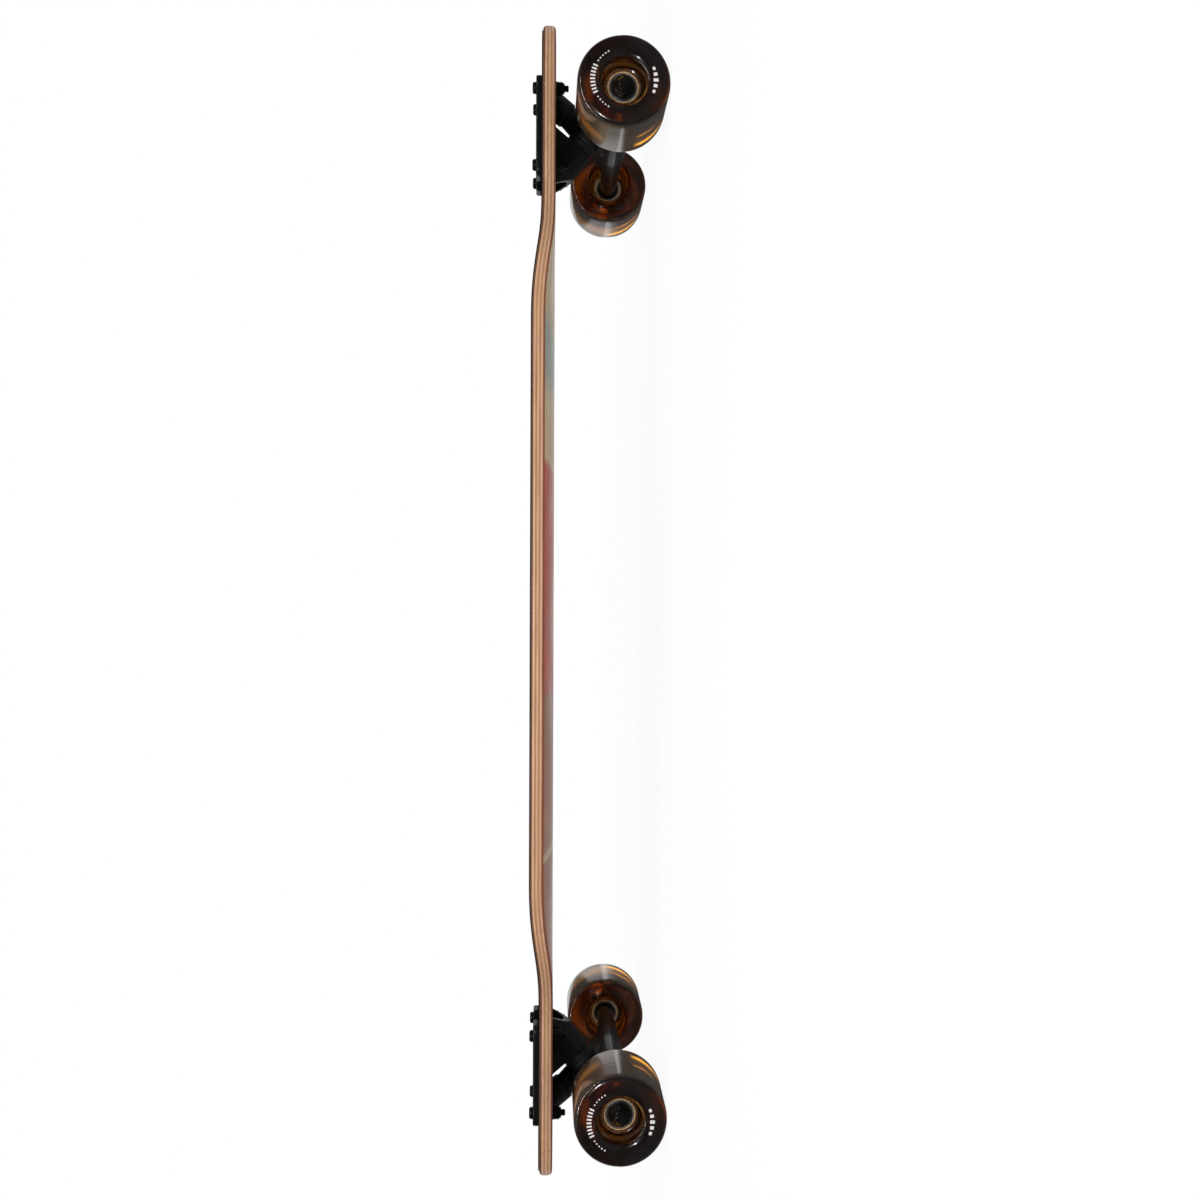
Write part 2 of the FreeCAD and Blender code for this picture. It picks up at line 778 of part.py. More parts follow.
def make_mount_bolts():
    """Pan-head bolts with a cross recess, from the flange down through the deck."""
    seat = truck_height + flange_thickness
    washer_face = deck_bottom - wheel_radius
    end = washer_face - mount_washer_thickness - mount_nut_height - bolt_thread_show
    bolts = []
    for x, y in bolt_places():
        head = cylinder(bolt_head_diameter / 2, Vector(x, y, seat), Vector(x, y, seat + bolt_head_height))
        rim = [e for e in head.Edges if isinstance(e.Curve, Part.Circle) and e.CenterOfMass.z > seat + 0.1]
        head = head.makeFillet(bolt_head_round, rim)
        top = seat + bolt_head_height
        floor = top - recess_depth
        recess = box(
            x - recess_reach, x + recess_reach, y - recess_width / 2, y + recess_width / 2, floor, top)
        cross = box(
            x - recess_width / 2, x + recess_width / 2, y - recess_reach, y + recess_reach, floor, top)
        shank = cylinder(bolt_radius, Vector(x, y, end), Vector(x, y, seat))
        tip = [e for e in shank.Edges if isinstance(e.Curve, Part.Circle) and e.CenterOfMass.z < seat - 0.1]
        shank = shank.makeChamfer(bolt_tip_chamfer, tip)
        bolts.append(head.fuse(shank).cut([recess, cross]).removeSplitter())
    return bolts


def make_mount_washers():
    face = deck_bottom - wheel_radius
    washers = []
    for x, y in bolt_places():
        low = Vector(x, y, face - mount_washer_thickness)
        washers.append(tube(mount_washer_diameter / 2, bolt_radius + thread_gap, low, Vector(x, y, face)))
    return washers


def make_mount_nuts():
    face = deck_bottom - wheel_radius - mount_washer_thickness
    nuts = []
    for x, y in bolt_places():
        nut = lock_nut(mount_nut_across, mount_nut_height, bolt_radius + thread_gap)
        nut.rotate(Vector(0, 0, 0), Vector(1, 0, 0), 180)
        nut.translate(Vector(x, y, face))
        nuts.append(nut)
    return nuts


# Build every piece and put it in its place

def at_wheels(shapes, side, hand):
    """Move wheel pieces to one wheel: hand 1 is the left wheel, -1 the right."""
    moved = []
    for shape in shapes:
        out = shape.copy()
        out.translate(Vector(side * axle_x, hand * wheel_offset, wheel_radius))
        moved.append(out)
    return moved


export("deck", make_deck())
export("grip_tape", make_grip_tape())

on_board = {
    "baseplate": [make_baseplate()],
    "pivot_cup": [steering(make_pivot_cup())],
    "kingpin": [steering(make_kingpin())],
    "kingpin_nut": [steering(make_kingpin_nut())],
    "boardside_bushing": [steering(make_boardside_bushing())],
    "roadside_bushing": [steering(make_roadside_bushing())],
    "boardside_washer": [steering(make_boardside_washer())],
    "roadside_washer": [steering(make_roadside_washer())],
    "mount_bolts": make_mount_bolts(),
    "mount_washers": make_mount_washers(),
    "mount_nuts": make_mount_nuts(),
}
on_hanger = {
    "hanger": [steering(make_hanger())],
    "axle": [make_axle()],
    "axle_nuts": make_axle_nuts(),
}
on_axle = {
    "axle_washers": make_speed_rings(),
    "bearing_inner_races": make_inner_races(),
    "bearing_spacers": [make_spacer()],
}
on_wheel = {
    "tyre": [make_tyre()],
    "core": [make_core()],
    "bearing_outer_races": make_outer_races(),
    "bearing_balls": make_balls(),
    "bearing_cages": make_cages(),
    "bearing_shields": make_shields(),
}

for truck, side in (("front", 1), ("rear", -1)):
    for name, shapes in (on_board | on_hanger).items():
        export(truck + "_" + name, *[placed(s, side) for s in shapes])
    for name, shapes in on_axle.items():
        export(truck + "_" + name, *at_wheels(shapes, side, 1), *at_wheels(shapes, side, -1))
    for wheel, hand in (("left", 1), ("right", -1)):
        for name, shapes in on_wheel.items():
            export(truck + "_" + wheel + "_" + name, *at_wheels(shapes, side, hand))

print("deck", 2 * deck_half_length, "by", deck_width, "deck top at", deck_top, "axles at", axle_x)
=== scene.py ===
# %% [markdown]
# A drop-through longboard in Blender.
# The solids of the board come in as a fixed frame: a maple deck, two trucks and four translucent wheels.
# This lesson dresses that frame. Every piece keeps its place and its size, and gets the surface that the
# real one has: lacquered plies, grit, powder coat, cast urethane and steel.

# %% Load the frame
import json
import math

import bmesh
import bpy
from mathutils import Matrix, Vector


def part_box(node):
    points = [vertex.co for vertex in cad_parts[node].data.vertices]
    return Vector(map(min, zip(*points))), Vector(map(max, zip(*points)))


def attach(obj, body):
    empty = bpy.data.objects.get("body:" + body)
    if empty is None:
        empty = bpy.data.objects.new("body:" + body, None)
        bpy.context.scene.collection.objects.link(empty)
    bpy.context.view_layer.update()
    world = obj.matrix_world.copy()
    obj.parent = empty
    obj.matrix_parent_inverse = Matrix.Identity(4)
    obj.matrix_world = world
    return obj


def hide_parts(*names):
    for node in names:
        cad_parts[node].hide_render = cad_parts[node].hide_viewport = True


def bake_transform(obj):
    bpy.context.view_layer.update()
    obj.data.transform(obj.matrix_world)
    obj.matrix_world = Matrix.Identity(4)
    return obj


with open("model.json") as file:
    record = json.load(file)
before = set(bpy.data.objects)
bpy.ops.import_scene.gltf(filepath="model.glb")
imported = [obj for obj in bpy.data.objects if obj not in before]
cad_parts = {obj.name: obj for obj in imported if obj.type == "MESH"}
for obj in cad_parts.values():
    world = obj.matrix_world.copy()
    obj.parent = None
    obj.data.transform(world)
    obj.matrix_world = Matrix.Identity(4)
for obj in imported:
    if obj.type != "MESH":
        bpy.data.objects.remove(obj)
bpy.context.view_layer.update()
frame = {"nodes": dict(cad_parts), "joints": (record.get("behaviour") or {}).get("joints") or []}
nodes = frame["nodes"]
TRUCKS = ("front", "rear")
WHEELS = [truck + "_" + hand for truck in TRUCKS for hand in ("left", "right")]

# %% [markdown]
# The camera. The board was photographed from its right side, with the picture turned so that the front of
# the board is at the top. A camera that is placed by eye never lines up, so this one is worked out: its
# distance from how much smaller the far wheels look, its height from the column where the ground would
# vanish. The focal length in pixels then fixes the lens.

# %% Camera
PICTURE_SIZE = 1200
SENSOR_WIDTH = 36
FOCAL_PIXELS = 1124
GROUND_COLUMN = 544.4
CAMERA_PLACE = Vector((0.0006, -0.950, 0.0917))
CAMERA_ROLL = math.radians(0.2)

tilt = math.atan((PICTURE_SIZE / 2 - GROUND_COLUMN) / FOCAL_PIXELS)
look = Vector((0, math.cos(tilt), -math.sin(tilt)))
picture_up = Vector((1, 0, 0))
picture_right = look.cross(picture_up)
camera_data = bpy.data.cameras.new("side_camera")
camera_data.sensor_width = SENSOR_WIDTH
camera_data.lens = FOCAL_PIXELS * SENSOR_WIDTH / PICTURE_SIZE
camera = bpy.data.objects.new("side_camera", camera_data)
facing = Matrix((picture_right, picture_up, -look)).transposed().to_4x4()
camera.matrix_world = Matrix.Translation(CAMERA_PLACE) @ facing @ Matrix.Rotation(CAMERA_ROLL, 4, "Z")
bpy.context.scene.collection.objects.link(camera)
bpy.context.scene.camera = camera
bpy.context.scene.view_settings.view_transform = "Standard"
print("camera: lens", round(camera_data.lens, 2), "mm")

# %% [markdown]
# The light. A product photograph is made in a dark room with one white wall: white behind the object, so that
# glass and gloss have something to show, and dark above and behind the camera, so that black paint stays
# black. One world shader can do both, because the Light Path node tells which kind of ray asks. Camera
# rays see white, mirror rays see the wall and the dark round it, and soft light stays at a plain level. Rays
# that come through the urethane see a much brighter room beyond both ends of the board, and most of its amber
# glow comes from there.

# %% World
SOFT_LEVEL = 0.62
ROOM_DARK = 0.03
WALL_MIRRORED = 0.33
WALL_MIDDLE_MIRRORED = 0.62
WALL_THROUGH = 0.14
SIDES_THROUGH = 1.1
ENDS_THROUGH = 6.0
# Where each light starts and is full, along one axis of the direction that a ray takes
WALL_BEHIND = (-0.1, 0.45)
WALL_TOP = (0.30, 0.24)
WALL_MIDDLE = (0.90, 0.95)
WALL_STRAIGHT_ON = (0.6, 0.88)
ENDS_SIDEWAYS = (0.55, 0.8)
ENDS_BEHIND = (-0.2, 0.3)


def feed(tree, socket, value):
    """Link a socket to another one, or set its plain value."""
    if isinstance(value, bpy.types.NodeSocket):
        tree.links.new(value, socket)
    else:
        socket.default_value = value


def blend_values(tree, share, first, second):
    """A number between two others."""
    mix = tree.nodes.new("ShaderNodeMix")
    feed(tree, mix.inputs[0], share)
    feed(tree, mix.inputs[2], first)
    feed(tree, mix.inputs[3], second)
    return mix.outputs[0]


def rise(tree, value, limits, first=0.0, last=1.0):
    """A soft step from one number to another, between two limits of a value."""
    step = tree.nodes.new("ShaderNodeMapRange")
    step.interpolation_type = "SMOOTHSTEP"
    for socket, number in (("Value", value), ("From Min", limits[0]), ("From Max", limits[1]),
                           ("To Min", first), ("To Max", last)):
        feed(tree, step.inputs[socket], number)
    return step.outputs[0]


world = bpy.data.worlds.new("white_room")
world.use_nodes = True
bpy.context.scene.world = world
room = world.node_tree
asks = room.nodes.new("ShaderNodeLightPath").outputs
toward = room.nodes.new("ShaderNodeSeparateXYZ")
feed(room, toward.inputs[0], room.nodes.new("ShaderNodeTexCoord").outputs["Generated"])
away_from_camera = toward.outputs["Y"]

below_top = rise(room, toward.outputs["Z"], WALL_TOP)
wall = blend_values(room, rise(room, away_from_camera, WALL_BEHIND), 0.0, below_top)
wall_light = rise(room, away_from_camera, WALL_MIDDLE, WALL_MIRRORED, WALL_MIDDLE_MIRRORED)
mirrored = blend_values(room, wall, ROOM_DARK, wall_light)
level = blend_values(room, asks["Is Glossy Ray"], SOFT_LEVEL, mirrored)
sideways = room.nodes.new("ShaderNodeMath")
sideways.operation = "ABSOLUTE"
feed(room, sideways.inputs[0], toward.outputs["X"])
at_ends = blend_values(room, rise(room, sideways.outputs[0], ENDS_SIDEWAYS), 0.0,
                       rise(room, away_from_camera, ENDS_BEHIND))
lit_sides = blend_values(room, at_ends, SIDES_THROUGH, ENDS_THROUGH)
through = blend_values(room, rise(room, away_from_camera, WALL_STRAIGHT_ON), lit_sides, WALL_THROUGH)
level = blend_values(room, asks["Is Transmission Ray"], level, through)
level = blend_values(room, asks["Is Camera Ray"], level, 1.0)
feed(room, room.nodes["Background"].inputs["Color"], (1, 1, 1, 1))
feed(room, room.nodes["Background"].inputs["Strength"], level)

# %% [markdown]
# The softboxes. Gloss is drawn by what it mirrors, so two weak lamps give it bright shapes to show: a long
# strip above the near rail and a small lamp over the camera. An area lamp with a target is enough for that.
# Neither shines through the urethane, because its glow is left to the room.

# %% Softboxes
BOARD_MIDDLE = (0, 0, 0.06)


def softbox(name, place, aim, width, height, watts):
    """A rectangular lamp that faces a point and doesn't shine through the wheels."""
    data = bpy.data.lights.new(name, "AREA")
    data.shape = "RECTANGLE"
    data.size = width
    data.size_y = height
    data.energy = watts
    lamp = bpy.data.objects.new(name, data)
    lamp.location = place
    lamp.rotation_euler = (Vector(aim) - Vector(place)).to_track_quat("-Z", "Y").to_euler()
    lamp.visible_transmission = False
    bpy.context.scene.collection.objects.link(lamp)


softbox("strip_over_deck", (0, -0.40, 1.0), BOARD_MIDDLE, width=1.8, height=0.035, watts=3.6)
softbox("lamp_by_camera", (0, -1.05, 0.50), BOARD_MIDDLE, width=0.25, height=0.12, watts=3.0)
print("light: soft level", SOFT_LEVEL, "and", len(bpy.data.lights), "softboxes")

# %% [markdown]
# The floor. The board stands on a plain white sheet. For the rays that look at it the sheet is mostly clear,
# so it is as white as the room beyond it and has no edge, and the rest of its shader is matt, so it keeps a
# soft shadow under the wheels. A steered truck dips a wheel below the sheet, and the wheel still shows whole.
# Mirror rays see the sheet dim, like a floor that lies in the board's own shade. Seen from below it is clear,
# so the underside of the board can be looked at too.

# %% Floor
FLOOR_GLOW = 0.93
FLOOR_BOUNCE = 0.35
FLOOR_MIRRORED = 0.05
FLOOR_NEAR = -0.85
FLOOR_FAR = 4.0
FLOOR_HALF_WIDTH = 3.0
FLOOR_WHITE = (0.9, 0.9, 0.9, 1)
# From and to how far: the shadow fades out with distance, the board's shade ends behind it
SHADOW_FADE = (0.5, 1.0)
SHADE_END = (0.1, 0.55)

sheet = bmesh.new()
bmesh.ops.create_grid(sheet, x_segments=1, y_segments=1, size=1)
bmesh.ops.scale(sheet, vec=(FLOOR_HALF_WIDTH, (FLOOR_FAR - FLOOR_NEAR) / 2, 1), verts=sheet.verts)
bmesh.ops.translate(sheet, vec=(0, (FLOOR_FAR + FLOOR_NEAR) / 2, 0), verts=sheet.verts)
floor_mesh = bpy.data.meshes.new("floor")
sheet.to_mesh(floor_mesh)
sheet.free()
floor = bpy.data.objects.new("floor", floor_mesh)
bpy.context.scene.collection.objects.link(floor)
print("floor:", FLOOR_FAR - FLOOR_NEAR, "m deep and", 2 * FLOOR_HALF_WIDTH, "m wide")


def mix_shaders(tree, share, first, second):
    """One shader over another."""
    layer = tree.nodes.new("ShaderNodeMixShader")
    for socket, value in zip(layer.inputs, (share, first, second)):
        feed(tree, socket, value)
    return layer.outputs[0]


floor_paint = bpy.data.materials.new("white_sheet")
floor_paint.use_nodes = True
floor_tree = floor_paint.node_tree
floor_tree.nodes.clear()
matt = floor_tree.nodes.new("ShaderNodeBsdfDiffuse")
feed(floor_tree, matt.inputs["Color"], FLOOR_WHITE)
glow = floor_tree.nodes.new("ShaderNodeEmission")
clear = floor_tree.nodes.new("ShaderNodeBsdfTransparent")
asks = floor_tree.nodes.new("ShaderNodeLightPath").outputs
floor_place = floor_tree.nodes.new("ShaderNodeTexCoord").outputs["Object"]
away = floor_tree.nodes.new("ShaderNodeVectorMath")
away.operation = "LENGTH"
feed(floor_tree, away.inputs[0], floor_place)
glowing = rise(floor_tree, away.outputs["Value"], SHADOW_FADE, FLOOR_GLOW, 1.0)
floor_axes = floor_tree.nodes.new("ShaderNodeSeparateXYZ")
feed(floor_tree, floor_axes.inputs[0], floor_place)
shade = rise(floor_tree, floor_axes.outputs["Y"], SHADE_END, FLOOR_MIRRORED, 1.0)
feed(floor_tree, glow.inputs["Strength"], blend_values(floor_tree, asks["Is Glossy Ray"], 1.0, shade))
share = blend_values(floor_tree, asks["Is Camera Ray"], FLOOR_BOUNCE, glowing)
share = blend_values(floor_tree, asks["Is Glossy Ray"], share, glowing)
share = blend_values(floor_tree, asks["Is Transmission Ray"], share, glowing)
white = mix_shaders(floor_tree, asks["Is Camera Ray"], glow.outputs[0], clear.outputs[0])
upper_side = mix_shaders(floor_tree, share, matt.outputs[0], white)
from_below = floor_tree.nodes.new("ShaderNodeNewGeometry").outputs["Backfacing"]
one_sided = mix_shaders(floor_tree, from_below, upper_side, clear.outputs[0])
floor_out = floor_tree.nodes.new("ShaderNodeOutputMaterial")
feed(floor_tree, floor_out.inputs["Surface"], one_sided)
floor_mesh.materials.append(floor_paint)

# %% [markdown]
# Finishes. Every finish here is a node tree round one Principled shader. A small class keeps the recipes
# short: it adds noise, ramps, mixes and bumps, and takes either a plain number or another node's output. All
# patterns read Object coordinates, which are metres here, so a scale of 1000 means one grain a millimetre.

# %% Finish helpers
CLOUD_LOW = 0.3
CLOUD_HIGH = 0.7


def screen(red, green, blue):
    """A colour as a screen shows it, 0 to 255, in linear values."""
    def linear(value):
        share = value / 255
        return share / 12.92 if share <= 0.04045 else ((share + 0.055) / 1.055) ** 2.4
    return (linear(red), linear(green), linear(blue), 1.0)


class Finish:
    """One procedural material and short ways to add nodes to it."""

    def __init__(self, name, **plain):
        self.material = bpy.data.materials.new(name)
        self.material.use_nodes = True
        self.tree = self.material.node_tree
        self.shader = self.tree.nodes["Principled BSDF"]
        self.place = self.tree.nodes.new("ShaderNodeTexCoord").outputs["Object"]
        for socket, value in plain.items():
            self.wear(socket.replace("_", " "), value)
        print("finish:", name)

    def wear(self, socket, value):
        """Give the shader's socket a number, a colour or another node's output."""
        feed(self.tree, self.shader.inputs[socket], value)

    def noise(self, scale, detail=3, stretch=(1, 1, 1), rough=0.5):
        """Soft cloudy grain, finer along the axes with a large stretch."""
        mapping = self.tree.nodes.new("ShaderNodeMapping")
        feed(self.tree, mapping.inputs["Vector"], self.place)
        feed(self.tree, mapping.inputs["Scale"], stretch)
        cloud = self.tree.nodes.new("ShaderNodeTexNoise")
        feed(self.tree, cloud.inputs["Vector"], mapping.outputs[0])
        feed(self.tree, cloud.inputs["Scale"], scale)
        feed(self.tree, cloud.inputs["Detail"], detail)
        feed(self.tree, cloud.inputs["Roughness"], rough)
        return cloud.outputs[0]

    def cells(self, scale):
        """Distance to scattered points, for grit."""
        points = self.tree.nodes.new("ShaderNodeTexVoronoi")
        feed(self.tree, points.inputs["Vector"], self.place)
        feed(self.tree, points.inputs["Scale"], scale)
        return points.outputs["Distance"]

    def work(self, operation, first, second=0.0):
        """One Math node."""
        sum_node = self.tree.nodes.new("ShaderNodeMath")
        sum_node.operation = operation
        feed(self.tree, sum_node.inputs[0], first)
        feed(self.tree, sum_node.inputs[1], second)
        return sum_node.outputs[0]

    def spread(self, value, low, high, to_low=0.0, to_high=1.0, smooth=False):
        """A value between two limits, spread over another range."""
        span = self.tree.nodes.new("ShaderNodeMapRange")
        span.interpolation_type = "SMOOTHSTEP" if smooth else "LINEAR"
        for socket, number in (("Value", value), ("From Min", low), ("From Max", high),
                               ("To Min", to_low), ("To Max", to_high)):
            feed(self.tree, span.inputs[socket], number)
        return span.outputs[0]

    def vary(self, cloud, low, high):
        """A number that drifts between two others with a noise."""
        return self.spread(cloud, CLOUD_LOW, CLOUD_HIGH, low, high)

    def ramp(self, value, stops, steps=False):
        """Colours along a value: stops are (place, colour)."""
        band = self.tree.nodes.new("ShaderNodeValToRGB")
        band.color_ramp.interpolation = "CONSTANT" if steps else "LINEAR"
        keys = band.color_ramp.elements
        while len(keys) < len(stops):
            keys.new(1.0)
        for key, (place, colour) in zip(keys, stops):
            key.position = place
            key.color = colour
        feed(self.tree, band.inputs[0], value)
        return band.outputs[0]

    def mix(self, share, first, second, kind="MIX"):
        """One colour over another."""
        layer = self.tree.nodes.new("ShaderNodeMix")
        layer.data_type = "RGBA"
        layer.blend_type = kind
        feed(self.tree, layer.inputs[0], share)
        feed(self.tree, layer.inputs[6], first)
        feed(self.tree, layer.inputs[7], second)
        return layer.outputs[2]

    def bump(self, height, depth):
        """A relief of a real depth, in metres."""
        relief = self.tree.nodes.new("ShaderNodeBump")
        feed(self.tree, relief.inputs["Height"], height)
        feed(self.tree, relief.inputs["Distance"], depth)
        self.wear("Normal", relief.outputs[0])

    def from_axle(self):
        """Distance from the nearest axle."""
        x, _, z = self.axes()
        ahead = self.work("SUBTRACT", self.work("ABSOLUTE", x), axle_spot.x)
        above = self.work("SUBTRACT", z, axle_spot.z)
        squares = [self.work("MULTIPLY", side, side) for side in (ahead, above)]
        return self.work("SQRT", self.work("ADD", *squares))

    def axes(self):
        """The three coordinates as numbers."""
        split = self.tree.nodes.new("ShaderNodeSeparateXYZ")
        feed(self.tree, split.inputs[0], self.place)
        return split.outputs[0], split.outputs[1], split.outputs[2]


axle_low, axle_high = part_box("front_axle")
axle_spot = (axle_low + axle_high) / 2


def dress(finish, *names):
    """Put a finish on carried-over nodes."""
    for name in names:
        mesh = nodes[name].data
        mesh.materials.clear()
        mesh.materials.append(finish.material)

# %% [markdown]
# The deck. It is pressed from seven plies of veneer, light and dark in turn, and the layers show as stripes
# all round its edge. Seven thin sheets could be modelled, but the stripes are only as thick as the veneer, so
# the finish paints them: it works out how high a point lies in the pressing, with the concave taken away, and
# looks that height up in a ramp of veneer colours.

# %% Deck plies
PLY_COUNT = 7
CONCAVE_RISE = 0.008
CONCAVE_FULL = 0.215
CONCAVE_NONE = 0.327
LIGHT_VENEER = screen(208, 165, 132)
DARK_VENEER = screen(176, 130, 94)
# The top and bottom veneers are dark plies painted darker still, with painted shade where the rounded edges
# turn away from the light.
SHADED_TOP_VENEER = screen(112, 78, 56)
SHADED_BOTTOM_VENEER = screen(136, 81, 61)

deck_low, deck_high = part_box("deck")
deck_bottom = deck_low.z
deck_thickness = deck_high.z - deck_low.z - CONCAVE_RISE
half_width = deck_high.y

maple = Finish("lacquered_maple", IOR=1.5)
deck_x, deck_y, deck_z = maple.axes()
pressed = maple.spread(maple.work("ABSOLUTE", deck_x), CONCAVE_FULL, CONCAVE_NONE, 1, 0, smooth=True)
across = maple.work("POWER", maple.work("ABSOLUTE", maple.work("DIVIDE", deck_y, half_width)), 2)
lift = maple.work("MULTIPLY", maple.work("MULTIPLY", pressed, across), CONCAVE_RISE)
depth = maple.work("DIVIDE", maple.work("SUBTRACT", maple.work("SUBTRACT", deck_z, deck_bottom), lift),
                   deck_thickness)
print("deck:", round(deck_thickness * 1000, 2), "mm of", PLY_COUNT, "plies, half width", round(half_width, 4))

# %% [markdown]
# Each veneer has its own grain. On a cut edge the grain is a run of long fine streaks, so a noise that is
# stretched along the board darkens and lightens the stripes a little.

# %% Deck edge
veneers = [SHADED_BOTTOM_VENEER, LIGHT_VENEER, DARK_VENEER, LIGHT_VENEER, DARK_VENEER, LIGHT_VENEER, SHADED_TOP_VENEER]
stripes = maple.ramp(depth, [(i / PLY_COUNT, colour) for i, colour in enumerate(veneers)], steps=True)
streaks = maple.noise(900, 4, (0.03, 1, 1))
patches = maple.noise(14, 2)
grain = maple.ramp(streaks, [(0.3, (0.72, 0.68, 0.64, 1)), (0.62, (1.06, 1.06, 1.05, 1))])
edge = maple.mix(0.75, stripes, maple.mix(1.0, stripes, grain, "MULTIPLY"))
tone = maple.ramp(patches, [(0.35, (0.93, 0.92, 0.92, 1)), (0.65, (1.05, 1.06, 1.08, 1))])
edge = maple.mix(0.7, edge, maple.mix(1.0, edge, tone, "MULTIPLY"))

# %% [markdown]
# The underside carries a printed design. This one is plain colour fields: broad bands across it in sage,
# grey green, clay red and mauve, with two thin cream lines, and each band has the cloudy look of a colour
# wash with the veneer's grain showing through. Lacquer mirrors more the flatter it is looked at, so the
# colours pale away from the rail.

# %% Deck underside
SAGE = screen(196, 174, 134)
SEA = screen(150, 160, 146)
CLAY = screen(186, 78, 54)
MAUVE = screen(162, 108, 80)
BARK = screen(74, 50, 38)
CREAM = screen(196, 172, 138)
BAND_LENGTH = 0.8
BAND_SLANT = 0.05
BAND_WOBBLE = 0.01
PRINT_DEPTH = 0.02
GRAIN_RELIEF = 0.00004

wobble = maple.work("MULTIPLY", maple.noise(9, 2), BAND_WOBBLE)
slanted = maple.work("ADD", maple.work("ADD", deck_x, maple.work("MULTIPLY", deck_y, BAND_SLANT)), wobble)
along_board = maple.spread(slanted, -BAND_LENGTH / 2, BAND_LENGTH / 2)
fields = maple.ramp(along_board, [
    (0.00, BARK), (0.12, BARK), (0.14, MAUVE), (0.25, MAUVE), (0.252, CREAM), (0.258, CREAM), (0.26, MAUVE),
    (0.409, MAUVE), (0.413, CLAY), (0.631, CLAY), (0.635, SAGE), (0.70, SAGE), (0.72, SEA), (0.76, SEA),
    (0.78, SAGE), (0.82, SAGE), (0.822, CREAM), (0.828, CREAM), (0.83, SAGE), (0.90, SAGE), (0.93, BARK)])
wash = maple.ramp(maple.noise(26, 5, rough=0.6), [(0.3, (0.8, 0.8, 0.8, 1)), (0.7, (1.12, 1.12, 1.12, 1))])
fields = maple.mix(0.8, fields, maple.mix(1.0, fields, wash, "MULTIPLY"))
rings = maple.noise(160, 6, (0.05, 1, 0.2))
fields = maple.mix(0.35, fields, maple.mix(1.0, fields, maple.ramp(rings, [
    (0.35, (0.55, 0.5, 0.46, 1)), (0.6, (1.1, 1.1, 1.1, 1))]), "MULTIPLY"))
printed = maple.work("LESS_THAN", depth, PRINT_DEPTH)
maple.wear("Base Color", maple.mix(printed, edge, fields))
maple.wear("Roughness", maple.vary(patches, 0.26, 0.34))
maple.wear("Specular IOR Level", 0.4)
maple.bump(streaks, GRAIN_RELIEF)
dress(maple, "deck")

# %% [markdown]
# Grip tape is sandpaper: dark mineral grains in a black binder. From a step away it is a dull black that
# glitters a little. Cells a third of a millimetre wide give the grains their height, and a few of them are
# smooth enough to catch the light.

# %% Grip tape
grit = Finish("mineral_grit", IOR=1.5)
grains = grit.cells(2600)
dust = grit.noise(60, 5, rough=0.65)
flecks = grit.ramp(grit.noise(5200, 2), [(0.62, screen(20, 20, 21)), (0.74, screen(70, 70, 72))])
grit.wear("Base Color", grit.mix(grit.spread(dust, 0.35, 0.75, 0.0, 0.3), flecks, screen(46, 45, 44)))
grit.wear("Roughness", grit.spread(grains, 0.0, 0.7, 0.55, 0.95))
grit.bump(grit.work("SUBTRACT", 1.0, grains), 0.0002)
dress(grit, "grip_tape")

# %% [markdown]
# The trucks. Hanger and baseplate are aluminium castings with a black powder coat. Powder melts into a skin
# with a faint orange peel, so the bump is soft and shallow, the gloss drifts a little, and a clear coat over
# it lets the edges catch the light. Bolts, nuts and axles are steel with a thin black oxide.

# %% Powder coat and blackened steel
powder = Finish("black_powder_coat", IOR=1.5, Coat_Weight=0.6, Coat_Roughness=0.14, Coat_IOR=1.5)
peel = powder.noise(1400, 3)
drift = powder.noise(45, 3)
powder.wear("Base Color", powder.mix(drift, screen(8, 8, 8), screen(15, 15, 15)))
powder.wear("Roughness", powder.vary(drift, 0.40, 0.50))
powder.wear("Specular IOR Level", 0.4)
powder.bump(peel, 0.00006)

blackened = Finish("black_oxide_steel", Metallic=0.6, IOR=1.5)
stain = blackened.noise(260, 4)
blackened.wear("Base Color", blackened.mix(stain, screen(20, 20, 22), screen(34, 33, 32)))
blackened.wear("Roughness", blackened.vary(stain, 0.22, 0.38))
blackened.bump(blackened.noise(2400, 2), 0.00002)

for truck in TRUCKS:
    dress(blackened, *[truck + "_" + piece for piece in (
        "kingpin", "kingpin_nut", "boardside_washer", "roadside_washer", "mount_bolts", "mount_washers",
        "mount_nuts", "axle", "axle_nuts")])

# %% [markdown]
# Bare steel. Races and balls are ground, and grinding leaves fine lines round the axis. A noise that is
# squeezed along the axle draws them, on the spacers' turned alloy too. The shields' dark plate, the rubber
# and the cages' nylon have a plain cloudy gloss.

# %% Steel and small parts
steel = Finish("ground_steel", Metallic=1.0)
lines_round = steel.noise(900, 3, (0.15, 4, 0.15))
steel.wear("Base Color", steel.mix(lines_round, screen(190, 190, 192), screen(222, 221, 219)))
steel.wear("Roughness", steel.vary(lines_round, 0.28, 0.42))
steel.bump(lines_round, 0.000006)

alloy = Finish("turned_alloy", Metallic=1.0)
turning = alloy.noise(1500, 2, (0.1, 6, 0.1))
alloy.wear("Base Color", alloy.mix(turning, screen(176, 177, 180), screen(208, 208, 210)))
alloy.wear("Roughness", alloy.vary(turning, 0.28, 0.42))
alloy.bump(turning, 0.00001)

rubber = Finish("black_rubber", IOR=1.5)
bloom = rubber.noise(220, 4)
rubber.wear("Base Color", rubber.mix(bloom, screen(18, 18, 18), screen(34, 34, 35)))
rubber.wear("Roughness", rubber.vary(bloom, 0.45, 0.7))
rubber.bump(rubber.noise(3000, 2), 0.00002)

plate = Finish("dark_shield_plate", Metallic=0.9)
brushed = plate.noise(1100, 4, (1, 0.2, 1))
plate.wear("Base Color", plate.mix(brushed, screen(48, 48, 50), screen(92, 91, 90)))
plate.wear("Roughness", plate.vary(brushed, 0.26, 0.4))
plate.bump(brushed, 0.00001)

